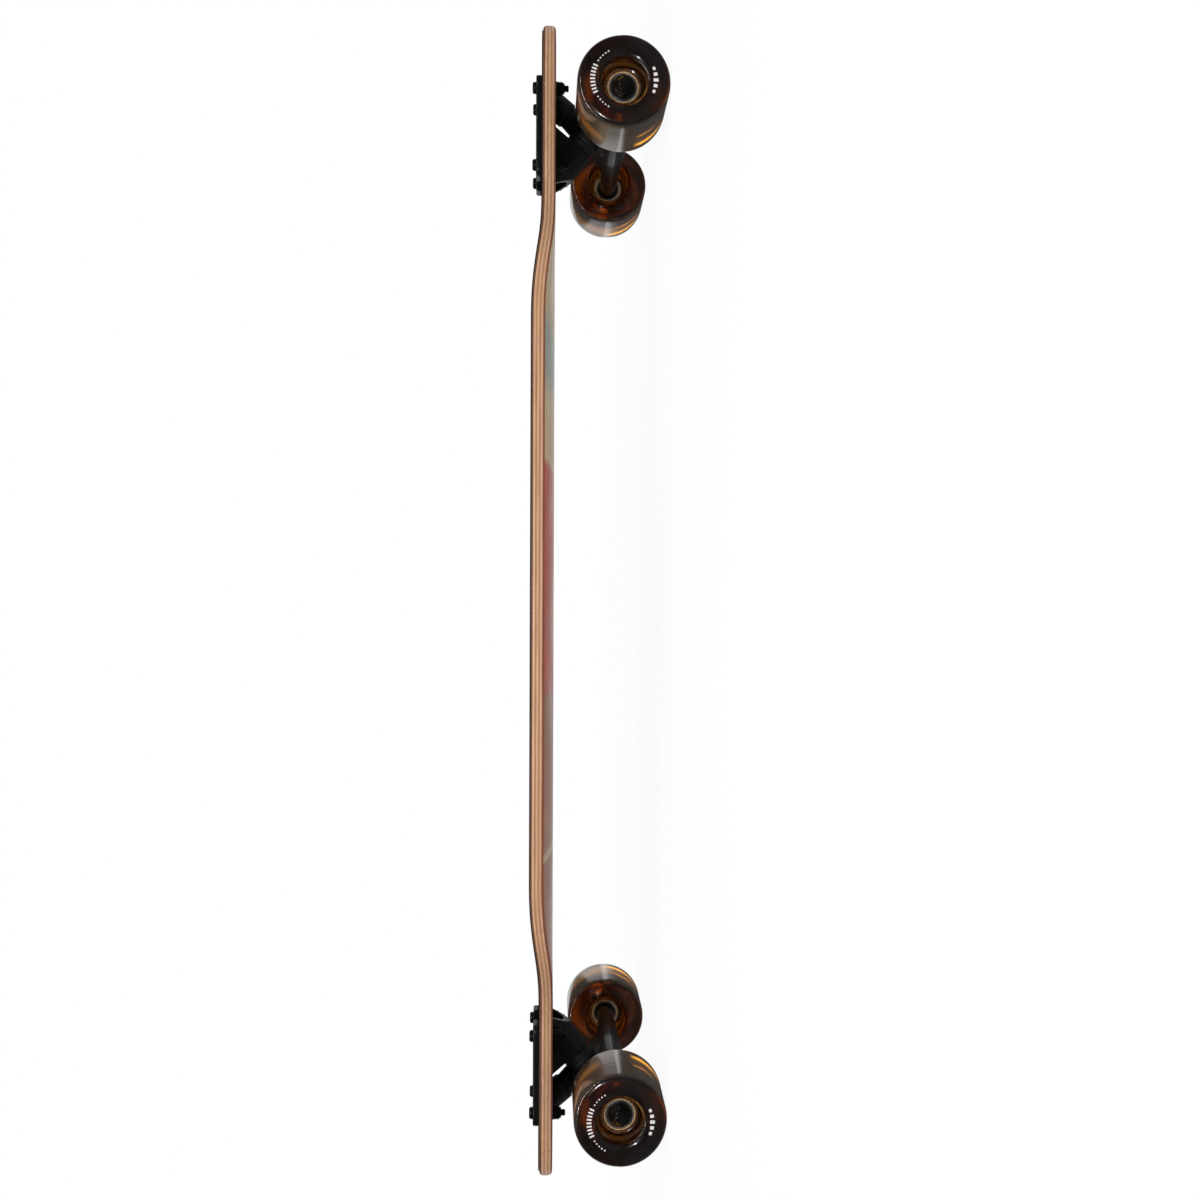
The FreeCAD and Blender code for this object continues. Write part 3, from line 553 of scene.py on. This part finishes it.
cage_nylon = Finish("cage_nylon", IOR=1.5)
fibre = cage_nylon.noise(1600, 3)
cage_nylon.wear("Base Color", cage_nylon.mix(fibre, screen(120, 112, 98), screen(150, 140, 122)))
cage_nylon.wear("Roughness", cage_nylon.vary(fibre, 0.45, 0.6))

for truck in TRUCKS:
    dress(steel, truck + "_bearing_inner_races", truck + "_axle_washers")
    dress(alloy, truck + "_bearing_spacers")
    dress(rubber, truck + "_pivot_cup")
for wheel in WHEELS:
    dress(steel, wheel + "_bearing_outer_races", wheel + "_bearing_balls")
    dress(cage_nylon, wheel + "_bearing_cages")

# %% [markdown]
# Urethane. The wheels are cast in a clear brown urethane, the colour of root beer. Its colour isn't on its
# surface: light is soaked up on the way through, blue first and then green, so thin places glow amber and
# thick ones are nearly black. An absorbing volume does the colouring. The cast is a little cloudy inside, so
# the shader is rough glass, and a clear coat over it gives the skin its sharp gloss. The tread is ground, and
# the ground skin adds a thin warm haze.

# %% Urethane
SOAK_COLOUR = (0.79, 0.625, 0.0, 1.0)
SOAK_DENSITY = 200
FACE_END = 0.0325
TREAD_START = 0.0343
TREAD_HAZE = (0.92, 0.66, 0.42, 1.0)
TREAD_CLEAR = 0.945

urethane = Finish("brown_urethane", IOR=1.5, Specular_IOR_Level=0.2, Coat_Weight=1.0, Coat_Roughness=0.03,
                  Coat_IOR=1.5)
swirl = urethane.noise(55, 4)
scuff = urethane.noise(420, 3)
tread = urethane.spread(urethane.from_axle(), FACE_END, TREAD_START)
ground_skin = urethane.vary(scuff, 0.13, 0.18)
cloudy_face = urethane.vary(swirl, 0.20, 0.26)
urethane.wear("Roughness", blend_values(urethane.tree, tread, cloudy_face, ground_skin))
urethane.wear("Transmission Weight", blend_values(urethane.tree, tread, 1.0, TREAD_CLEAR))
tint = urethane.mix(swirl, (0.96, 0.94, 0.92, 1), (1, 1, 1, 1))
urethane.wear("Base Color", urethane.mix(tread, tint, TREAD_HAZE))
urethane.bump(scuff, 0.000004)
soak = urethane.tree.nodes.new("ShaderNodeVolumeAbsorption")
soak.inputs["Color"].default_value = SOAK_COLOUR
soak.inputs["Density"].default_value = SOAK_DENSITY
urethane_out = urethane.tree.nodes["Material Output"]
feed(urethane.tree, urethane_out.inputs["Volume"], soak.outputs[0])

# %% [markdown]
# The hub's nylon. A ramp over the distance from the axle sets the tone: a painted highlight on the pale inner
# edge, the nylon's own amber on the ring, a painted gold glow on the rim and painted shade, nearly black, on
# the thick waist. A noise adds the streaks of the moulding.

# %% Hub finish
RAMP_START = 0.0105
RAMP_END = 0.0145
# The pale edge is a painted highlight, the rim a painted gold glow, and the waist's near black is painted
# shade.
HUB_EDGE_PAINTED_HIGHLIGHT = screen(228, 196, 150)
HUB_RING = screen(112, 76, 42)
HUB_RIM_PAINTED_GLOW = screen(150, 106, 58)
HUB_WAIST_PAINTED_SHADE = screen(22, 10, 5)

hub_nylon = Finish("amber_nylon", IOR=1.5)
ring_tone_and_painted_light = hub_nylon.ramp(hub_nylon.spread(hub_nylon.from_axle(), RAMP_START, RAMP_END), [
    (0.0, HUB_EDGE_PAINTED_HIGHLIGHT), (0.25, HUB_EDGE_PAINTED_HIGHLIGHT), (0.35, HUB_RING), (0.6, HUB_RING), (0.7, HUB_RIM_PAINTED_GLOW), (0.78, HUB_RIM_PAINTED_GLOW),
    (0.84, HUB_WAIST_PAINTED_SHADE)])
flow = hub_nylon.noise(240, 4)
streaky = hub_nylon.ramp(flow, [(0.35, (0.7, 0.66, 0.6, 1)), (0.65, (1.1, 1.1, 1.1, 1))])
hub_nylon.wear("Base Color", hub_nylon.mix(1.0, ring_tone_and_painted_light, streaky, "MULTIPLY"))
hub_nylon.wear("Roughness", hub_nylon.vary(flow, 0.28, 0.42))
hub_nylon.bump(hub_nylon.noise(1800, 2), 0.00002)

# %% [markdown]
# Turning on a lathe. A wheel, a hub, a bushing: each is an outline that goes round an axis. The outline
# starts as a few corner points joined by edges, a vertex bevel rounds the corners that are round, and spin
# turns it into a closed skin. The measures come from the frame: how far a node runs along the axis and stands
# off it.

# %% Lathe helpers
SAME_POINT = 1e-7


def reach(node, origin, axis):
    """Start and end of a node along an axis, and its least and greatest distance from it."""
    points = [vertex.co - origin for vertex in nodes[node].data.vertices]
    along = [point.dot(axis) for point in points]
    off = [(point - axis * step).length for point, step in zip(points, along)]
    return min(along), max(along), min(off), max(off)


def turned(origin, axis, outline, steps=128, arc=8):
    """Turn a closed outline of (radius, along, rounding) corners about an axis."""
    part = bmesh.new()
    side = axis.orthogonal().normalized()
    corners = [part.verts.new(origin + side * radius + axis * along) for radius, along, _ in outline]
    for here, after in zip(corners, corners[1:] + corners[:1]):
        part.edges.new((here, after))
    for corner, (_, _, ease) in zip(corners, outline):
        if ease:
            bmesh.ops.bevel(part, geom=[corner], offset=ease, affect="VERTICES", segments=arc, profile=0.5,
                            material=-1)
    bmesh.ops.spin(part, geom=part.verts[:] + part.edges[:], cent=origin, axis=axis, angle=math.tau,
                   steps=steps, use_merge=True)
    close(part)
    return part


def close(part):
    """Merge doubles and turn all faces outwards."""
    bmesh.ops.remove_doubles(part, verts=part.verts, dist=SAME_POINT)
    bmesh.ops.recalc_face_normals(part, faces=part.faces)


def show(name, parts, finish, body, smooth_to=40):
    """Make one piece of finished parts: its skin, its shading and the body that it rides on."""
    mesh = bpy.data.meshes.new(name)
    for part in parts:
        part.from_mesh(mesh)
        part.to_mesh(mesh)
        part.free()
    mesh.materials.append(finish.material)
    for face in mesh.polygons:
        face.use_smooth = True
    mesh.set_sharp_from_angle(angle=math.radians(smooth_to))
    piece = bpy.data.objects.new(name, mesh)
    bpy.context.scene.collection.objects.link(piece)
    if body:
        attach(piece, body)
    print(name, len(mesh.polygons), "faces")
    return piece


def both_sides(half_outline):
    """An outline from its +along half: the same corners again, mirrored and in turn."""
    return half_outline + [(radius, -along, ease) for radius, along, ease in half_outline[::-1]]

# %% [markdown]
# The tyre's outline: a flat tread, generous round lips, a flat face and a dished recess that slopes down to
# the hub. The inner wall follows the hub that it is cast round.

# %% Tyres
LIP_ROUND = 0.0055
RECESS_RIM = 0.0172
RECESS_FOOT = 0.0152
RECESS_RIM_ROUND = 0.0042
RECESS_FOOT_ROUND = 0.0024
HUB_STAND = 0.0006
RIM_LENGTH = 0.003
SLOPE_LENGTH = 0.0024
INK_THICKNESS = 0.00005
TYRE_STEPS = 160
AXLE = Vector((0, 1, 0))


def wheel_centre(wheel):
    """The middle of a wheel, from its tyre."""
    low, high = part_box(wheel + "_tyre")
    return (low + high) / 2


for wheel in WHEELS:
    centre = wheel_centre(wheel)
    _, half, rim, radius = reach(wheel + "_tyre", centre, AXLE)
    _, hub_end, _, waist = reach(wheel + "_core", centre, AXLE)
    face = half - INK_THICKNESS
    seat = hub_end - HUB_STAND
    outline = both_sides([
        (waist, seat - RIM_LENGTH - SLOPE_LENGTH, 0), (rim, seat - RIM_LENGTH, 0), (rim, seat, 0),
        (RECESS_FOOT, seat, RECESS_FOOT_ROUND), (RECESS_RIM, face, RECESS_RIM_ROUND),
        (radius, face, LIP_ROUND)])
    skin = turned(centre, AXLE, outline, steps=TYRE_STEPS)
    tyre = show(wheel + "_urethane", [skin], urethane, wheel + "_wheel")
    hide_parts(wheel + "_tyre")

# %% [markdown]
# The hub. Bearings need a hard seat, so the urethane is cast round a ring of amber nylon. Its rim shows
# beside the bearing as a notched ring with a painted highlight on its inner edge, and its waist has ribs that
# key it into the urethane. Both come from the turned ring: some of its faces are extruded, in for a notch and
# out for a rib.
# The hub is a hair larger than the tyre's inner wall, so that light inside the urethane meets nylon.

# %% Hubs
BEARING_WIDTH = 0.007
HUB_SKIN = 0.0002
NOTCH_DEPTH = 0.0012
NOTCH_RADIUS = 0.0121
RIB_HEIGHT = 0.0016
HUB_STEPS = 144
# Steps of the spin from one notch or rib to the next, and how many of them it is wide
NOTCH_EVERY, NOTCH_WIDE = 6, 3
RIB_EVERY, RIB_WIDE = 12, 4
NEAR_END = 1e-5


def push(part, faces, move):
    """Extrude some faces and move each new point."""
    made = bmesh.ops.extrude_face_region(part, geom=faces)["geom"]
    for point in [item for item in made if isinstance(item, bmesh.types.BMVert)]:
        point.co += move(point.co)


def turn_index(face, centre, steps):
    """Which step of a spin about the axle a face belongs to."""
    spot = face.calc_center_median() - centre
    return int((math.atan2(spot.z, spot.x) / math.tau + 1) * steps) % steps


for wheel in WHEELS:
    centre = wheel_centre(wheel)
    _, hub_end, hole, waist = reach(wheel + "_core", centre, AXLE)
    _, _, _, seat = reach(wheel + "_bearing_outer_races", centre, AXLE)
    rim = reach(wheel + "_tyre", centre, AXLE)[2] + HUB_SKIN
    shelf = hub_end - HUB_STAND - BEARING_WIDTH
    slope = hub_end - HUB_STAND - RIM_LENGTH
    hub = turned(centre, AXLE, both_sides([
        (hole, shelf, 0), (seat, shelf, 0), (seat, hub_end, 0), (NOTCH_RADIUS, hub_end, 0),
        (rim, hub_end, 0), (rim, slope, 0), (waist + HUB_SKIN, slope - SLOPE_LENGTH, 0)]), steps=HUB_STEPS)
    notched, ribbed = [], []
    for ring_face in hub.faces:
        spot = ring_face.calc_center_median() - centre
        off = math.hypot(spot.x, spot.z)
        index = turn_index(ring_face, centre, HUB_STEPS)
        at_end = abs(spot.y) > hub_end - NEAR_END
        if at_end and off > NOTCH_RADIUS and index % NOTCH_EVERY < NOTCH_WIDE:
            notched.append(ring_face)
        if off > waist and index % RIB_EVERY < RIB_WIDE:
            ribbed.append(ring_face)
    push(hub, notched, lambda co: Vector((0, -math.copysign(NOTCH_DEPTH, co.y - centre.y), 0)))
    push(hub, ribbed, lambda co: Vector((co.x - centre.x, 0, co.z - centre.z)).normalized() * RIB_HEIGHT)
    bmesh.ops.recalc_face_normals(hub, faces=hub.faces)
    ring = show(wheel + "_hub", [hub], hub_nylon, wheel + "_wheel", smooth_to=25)
    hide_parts(wheel + "_core")

# %% [markdown]
# The bearings' faces. A shield is a thin steel plate with a pressed bead that keeps dirt off the balls, and a
# snap ring holds it in the race's groove. Both are turned, and the ring fills the small step that the race
# leaves in front of the shield.

# %% Bearing shields
MM = 0.001
SHIELD_SEAT = 0.8
SHIELD_STEPS = 96
SHIELD_ARC = 3
SHIELD_OUTLINE = [
    (6.1, 0.0, 0), (10.1, 0.0, 0), (10.1, 0.4, 0), (9.2, 0.4, 0), (8.9, 0.64, 0.1), (7.6, 0.64, 0.1),
    (7.3, 0.4, 0), (6.6, 0.4, 0), (6.4, 0.58, 0.05), (6.1, 0.58, 0)]
SNAP_OUTLINE = [(9.45, 0.4, 0), (10.1, 0.4, 0), (10.1, 0.76, 0.1), (9.45, 0.76, 0.1)]


def in_metres(outline):
    """An outline in millimetres, in metres."""
    return [(radius * MM, along * MM, ease * MM) for radius, along, ease in outline]


for wheel in WHEELS:
    centre = wheel_centre(wheel)
    _, stack_end, _, _ = reach(wheel + "_bearing_outer_races", centre, AXLE)
    shields, snaps = [], []
    for side in (1, -1):
        for face_at, outward in ((stack_end, side), (stack_end - BEARING_WIDTH, -side)):
            back = centre + AXLE * (side * face_at - outward * SHIELD_SEAT * MM)
            for pieces, outline in ((shields, SHIELD_OUTLINE), (snaps, SNAP_OUTLINE)):
                pieces.append(turned(back, AXLE * outward, in_metres(outline), SHIELD_STEPS, SHIELD_ARC))
    plates = show(wheel + "_shield_plates", shields, plate, wheel + "_wheel")
    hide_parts(wheel + "_bearing_shields")
    show(wheel + "_snap_rings", snaps, steel, wheel + "_wheel")

# %% [markdown]
# The print. The outer face of each wheel carries a white print. Here it is a plain scale: bars, blocks and
# dots round the recess, like the marks on a dial. Ink is a thin layer, so each mark is a flat shape with a
# real thickness that fills the hair's breadth left in front of the face.

# %% Wheel print
INK_RADIUS = 0.0233
BAR_WIDTH = 0.0012
BAR_LENGTH = 0.0036
DOT_RADIUS = 0.0006
DOT_STEP = math.radians(6.4)
DOT_LEAD = 1.5
DOT_COUNT = 5
DOT_CORNERS = 12
BAR_STEP = math.radians(6.2)
BARS_EACH_SIDE = 4
BLOCKS_EACH_SIDE = 2
BLOCK_SPACING = 1.7
BLOCK_TAPER = 0.22

ink = Finish("white_ink", IOR=1.5)
rubbed = ink.noise(700, 4)
ink.wear("Base Color", ink.mix(rubbed, screen(214, 212, 210), screen(240, 239, 238)))
ink.wear("Roughness", ink.vary(rubbed, 0.4, 0.55))


def mark_place(centre, face_y, angle):
    """Where a mark lies on a wheel's face, turned so that its own Y points away from the axle."""
    turn = Matrix.Rotation(angle, 4, "Y") @ Matrix.Rotation(math.pi / 2, 4, "X")
    return Matrix.Translation((centre.x, face_y, centre.z)) @ turn @ Matrix.Translation((0, INK_RADIUS, 0))


def print_marks(centre, face_y, outward):
    """Bars, blocks and dots on one face, as thin closed plates."""
    marks = bmesh.new()
    for i in range(-BARS_EACH_SIDE, BARS_EACH_SIDE + 1):
        bar = mark_place(centre, face_y, i * BAR_STEP) @ Matrix.Diagonal((BAR_WIDTH, BAR_LENGTH, 1, 1))
        bmesh.ops.create_grid(marks, x_segments=1, y_segments=1, size=0.5, matrix=bar)
    for i in range(-BLOCKS_EACH_SIDE, BLOCKS_EACH_SIDE + 1):
        block = Matrix.Diagonal((2 * BAR_WIDTH, BAR_LENGTH * (1 - BLOCK_TAPER * abs(i)), 1, 1))
        place = mark_place(centre, face_y, math.pi + i * BLOCK_SPACING * BAR_STEP)
        bmesh.ops.create_grid(marks, x_segments=1, y_segments=1, size=0.5, matrix=place @ block)
    for side in (1, -1):
        for i in range(DOT_COUNT):
            angle = side * (BARS_EACH_SIDE * BAR_STEP + (i + DOT_LEAD) * DOT_STEP)
            bmesh.ops.create_circle(marks, cap_ends=True, segments=DOT_CORNERS, radius=DOT_RADIUS,
                                    matrix=mark_place(centre, face_y, angle))
    plates = bmesh.ops.extrude_face_region(marks, geom=marks.faces[:], use_keep_orig=True)["geom"]
    tops = [item for item in plates if isinstance(item, bmesh.types.BMVert)]
    bmesh.ops.translate(marks, vec=(0, outward * INK_THICKNESS, 0), verts=tops)
    close(marks)
    return marks


for wheel in WHEELS:
    centre = wheel_centre(wheel)
    outward = 1 if wheel.endswith("left") else -1
    half = reach(wheel + "_tyre", centre, AXLE)[1]
    marks = print_marks(centre, centre.y + outward * (half - INK_THICKNESS), outward)
    show(wheel + "_print", [marks], ink, wheel + "_wheel")

# %% [markdown]
# The castings. A casting has no sharp edges: the mould rounds them, and metal fills the inner corners. A
# merged copy of the solid is remeshed into small even faces and then relaxed, which rounds outer and inner
# edges alike. The rear truck is the front one turned half round, so each casting is softened once.

# %% Hangers and baseplates
CAST_GRAIN = 0.0007
CAST_RELAX = 0.5
CAST_PASSES = 5
# Points this near are one point where a node's faces meet, or where a thread's turns do
NEAR_POINT = 1e-6


def softened(node):
    """A merged, evenly remeshed and relaxed copy of a node's mesh."""
    part = bmesh.new()
    part.from_mesh(nodes[node].data)
    bmesh.ops.remove_doubles(part, verts=part.verts, dist=NEAR_POINT)
    mesh = bpy.data.meshes.new(node + "_blank")
    part.to_mesh(mesh)
    part.free()
    blank = bpy.data.objects.new(node + "_blank", mesh)
    bpy.context.scene.collection.objects.link(blank)
    even = blank.modifiers.new("even_faces", "REMESH")
    even.mode = "VOXEL"
    even.voxel_size = CAST_GRAIN
    relax = blank.modifiers.new("cast_fillets", "SMOOTH")
    relax.factor = CAST_RELAX
    relax.iterations = CAST_PASSES
    bpy.context.view_layer.update()
    finished = blank.evaluated_get(bpy.context.evaluated_depsgraph_get())
    part = bmesh.new()
    part.from_mesh(finished.to_mesh())
    finished.to_mesh_clear()
    bpy.data.objects.remove(blank)
    return part


for casting, body in (("baseplate", "board"), ("hanger", "truck")):
    front = softened("front_" + casting)
    rear = front.copy()
    bmesh.ops.rotate(rear, cent=(0, 0, 0), matrix=Matrix.Rotation(math.pi, 3, "Z"), verts=rear.verts)
    for truck, part in (("front", front), ("rear", rear)):
        rides_on = body if body == "board" else truck + "_truck"
        piece = show(truck + "_" + casting + "_casting", [part], powder, rides_on, smooth_to=60)
        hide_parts(truck + "_" + casting)

# %% [markdown]
# The bushings. Two bushings hold each hanger's ring to the middle: a barrel against the baseplate and a cone
# against the cup washer. One end stays with the board and the other leans with the hanger; here each is
# turned in place and rides on no body.

# %% Bushings
BUSHING_ROUND = 0.0022
BUSHING_STEPS = 96
GROOVE_DEPTH = 0.0007
GROOVE_HALF = 0.0009
GROOVE_LIP_ROUND = 0.0003
GROOVE_FLOOR_ROUND = 0.0004
WASHER_LIP = 0.0021

joints = {joint["name"]: joint for joint in frame["joints"]}


def kingpin_axis(truck):
    """A truck's ring middle, and the kingpin's direction towards the road."""
    joint = joints[truck + "_steer"]
    steer = Vector(joint["axis"])
    return Vector(joint["pos_m"]), Vector((0, 1 if truck == "front" else -1, 0)).cross(steer)


for truck in TRUCKS:
    ring, road = kingpin_axis(truck)
    for kind in ("boardside", "roadside"):
        node = truck + "_" + kind + "_bushing"
        start, end, bore, radius = reach(node, ring, road)
        middle = (start + end) / 2
        tip = radius
        if kind == "roadside":
            tip = reach(truck + "_roadside_washer", ring, road)[3] - WASHER_LIP
        waist = (radius + tip) / 2
        outline = [
            (bore, start, 0), (radius, start, BUSHING_ROUND), (waist, middle - GROOVE_HALF, GROOVE_LIP_ROUND),
            (waist - GROOVE_DEPTH, middle, GROOVE_FLOOR_ROUND),
            (waist, middle + GROOVE_HALF, GROOVE_LIP_ROUND), (tip, end, BUSHING_ROUND), (bore, end, 0)]
        skin = turned(ring, road, outline, steps=BUSHING_STEPS)
        bushing = show(node + "_soft", [skin], rubber, None)
        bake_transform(bushing)
        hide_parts(node)

# %% [markdown]
# Threads. Wherever a bolt comes through its nut, a few turns of thread show. A thread is a small V that
# climbs as it goes round: spin takes a step along the axis with each turn, neighbouring turns share their
# edge, and two cuts square off the ends.

# %% Thread helper
THREAD_STEPS = 48
# Height and place of the V's corners, in pitches
THREAD_PROFILE = ((0, 0), (0.3, 0.3), (0.3, 0.45), (0, 0.75), (0, 1))


def thread(origin, axis, radius, start, end, pitch):
    """A closed sleeve of thread from start to end, its root on the bolt's own surface."""
    part = bmesh.new()
    side = axis.orthogonal().normalized()
    turns = math.ceil((end - start) / pitch) + 2
    low = start - pitch
    points = [part.verts.new(origin + side * (radius + height * pitch) + axis * (low + step * pitch))
              for height, step in THREAD_PROFILE]
    edges = [part.edges.new(pair) for pair in zip(points, points[1:])]
    bmesh.ops.spin(part, geom=points + edges, cent=origin, axis=axis, angle=math.tau * turns,
                   steps=THREAD_STEPS * turns, dvec=axis * (pitch / THREAD_STEPS))
    bmesh.ops.remove_doubles(part, verts=part.verts, dist=NEAR_POINT)
    for along, facing in ((start, -1), (end, 1)):
        bmesh.ops.bisect_plane(part, geom=part.verts[:] + part.edges[:] + part.faces[:],
                               plane_co=origin + axis * along, plane_no=axis * facing, clear_outer=True)
    bmesh.ops.holes_fill(part, edges=[edge for edge in part.edges if edge.is_boundary])
    close(part)
    return part

# %% [markdown]
# The bolts of one truck are a single node, so their places have to be found first. Points that hang together
# by edges belong to one solid, and the box round them tells where its bolt is. A thread then starts just
# inside the nut and ends at the bolt's chamfer.

# %% Threads
MOUNT_PITCH = 0.0008
KINGPIN_PITCH = 0.0012
AXLE_PITCH = 0.0011
SHANK_CHAMFER = 0.0005
KINGPIN_CHAMFER = 0.0014
AXLE_CHAMFER = 0.0008
IN_NUT = 0.0005
BORE_GAP = 0.00005
UP = Vector((0, 0, 1))


def solids_of(node):
    """Boxes of the separate solids of a node, from its connected points."""
    part = bmesh.new()
    part.from_mesh(nodes[node].data)
    bmesh.ops.remove_doubles(part, verts=part.verts, dist=NEAR_POINT)
    found, seen = [], set()
    for first in part.verts:
        if first in seen:
            continue
        group, queue = [], [first]
        seen.add(first)
        while queue:
            vertex = queue.pop()
            group.append(vertex.co.copy())
            for edge in vertex.link_edges:
                other = edge.other_vert(vertex)
                if other not in seen:
                    seen.add(other)
                    queue.append(other)
        low = Vector([min(point[i] for point in group) for i in range(3)])
        high = Vector([max(point[i] for point in group) for i in range(3)])
        found.append((low, high))
    part.free()
    return found


for truck in TRUCKS:
    sleeves = []
    for low, high in solids_of(truck + "_mount_nuts"):
        middle = (low + high) / 2
        origin = Vector((middle.x, middle.y, low.z))
        bolt_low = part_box(truck + "_mount_bolts")[0].z
        shank = reach(truck + "_mount_washers", origin, UP)[2] - BORE_GAP
        sleeves.append(thread(origin, -UP, shank, -IN_NUT, low.z - bolt_low - SHANK_CHAMFER, MOUNT_PITCH))
    show(truck + "_bolt_threads", sleeves, blackened, "board")

    ring, road = kingpin_axis(truck)
    _, pin_end, _, _ = reach(truck + "_kingpin", ring, road)
    _, nut_end, bore, _ = reach(truck + "_kingpin_nut", ring, road)
    pin = thread(ring, road, bore - BORE_GAP, nut_end - IN_NUT, pin_end - KINGPIN_CHAMFER, KINGPIN_PITCH)
    show(truck + "_kingpin_thread", [pin], blackened, "board")

    low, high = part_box(truck + "_axle")
    centre = (low + high) / 2
    _, axle_end, _, axle_radius = reach(truck + "_axle", centre, AXLE)
    nut_end = reach(truck + "_axle_nuts", centre, AXLE)[1]
    ends = [thread(centre, AXLE * side, axle_radius, nut_end - IN_NUT, axle_end - AXLE_CHAMFER, AXLE_PITCH)
            for side in (1, -1)]
    show(truck + "_axle_threads", ends, blackened, truck + "_truck")
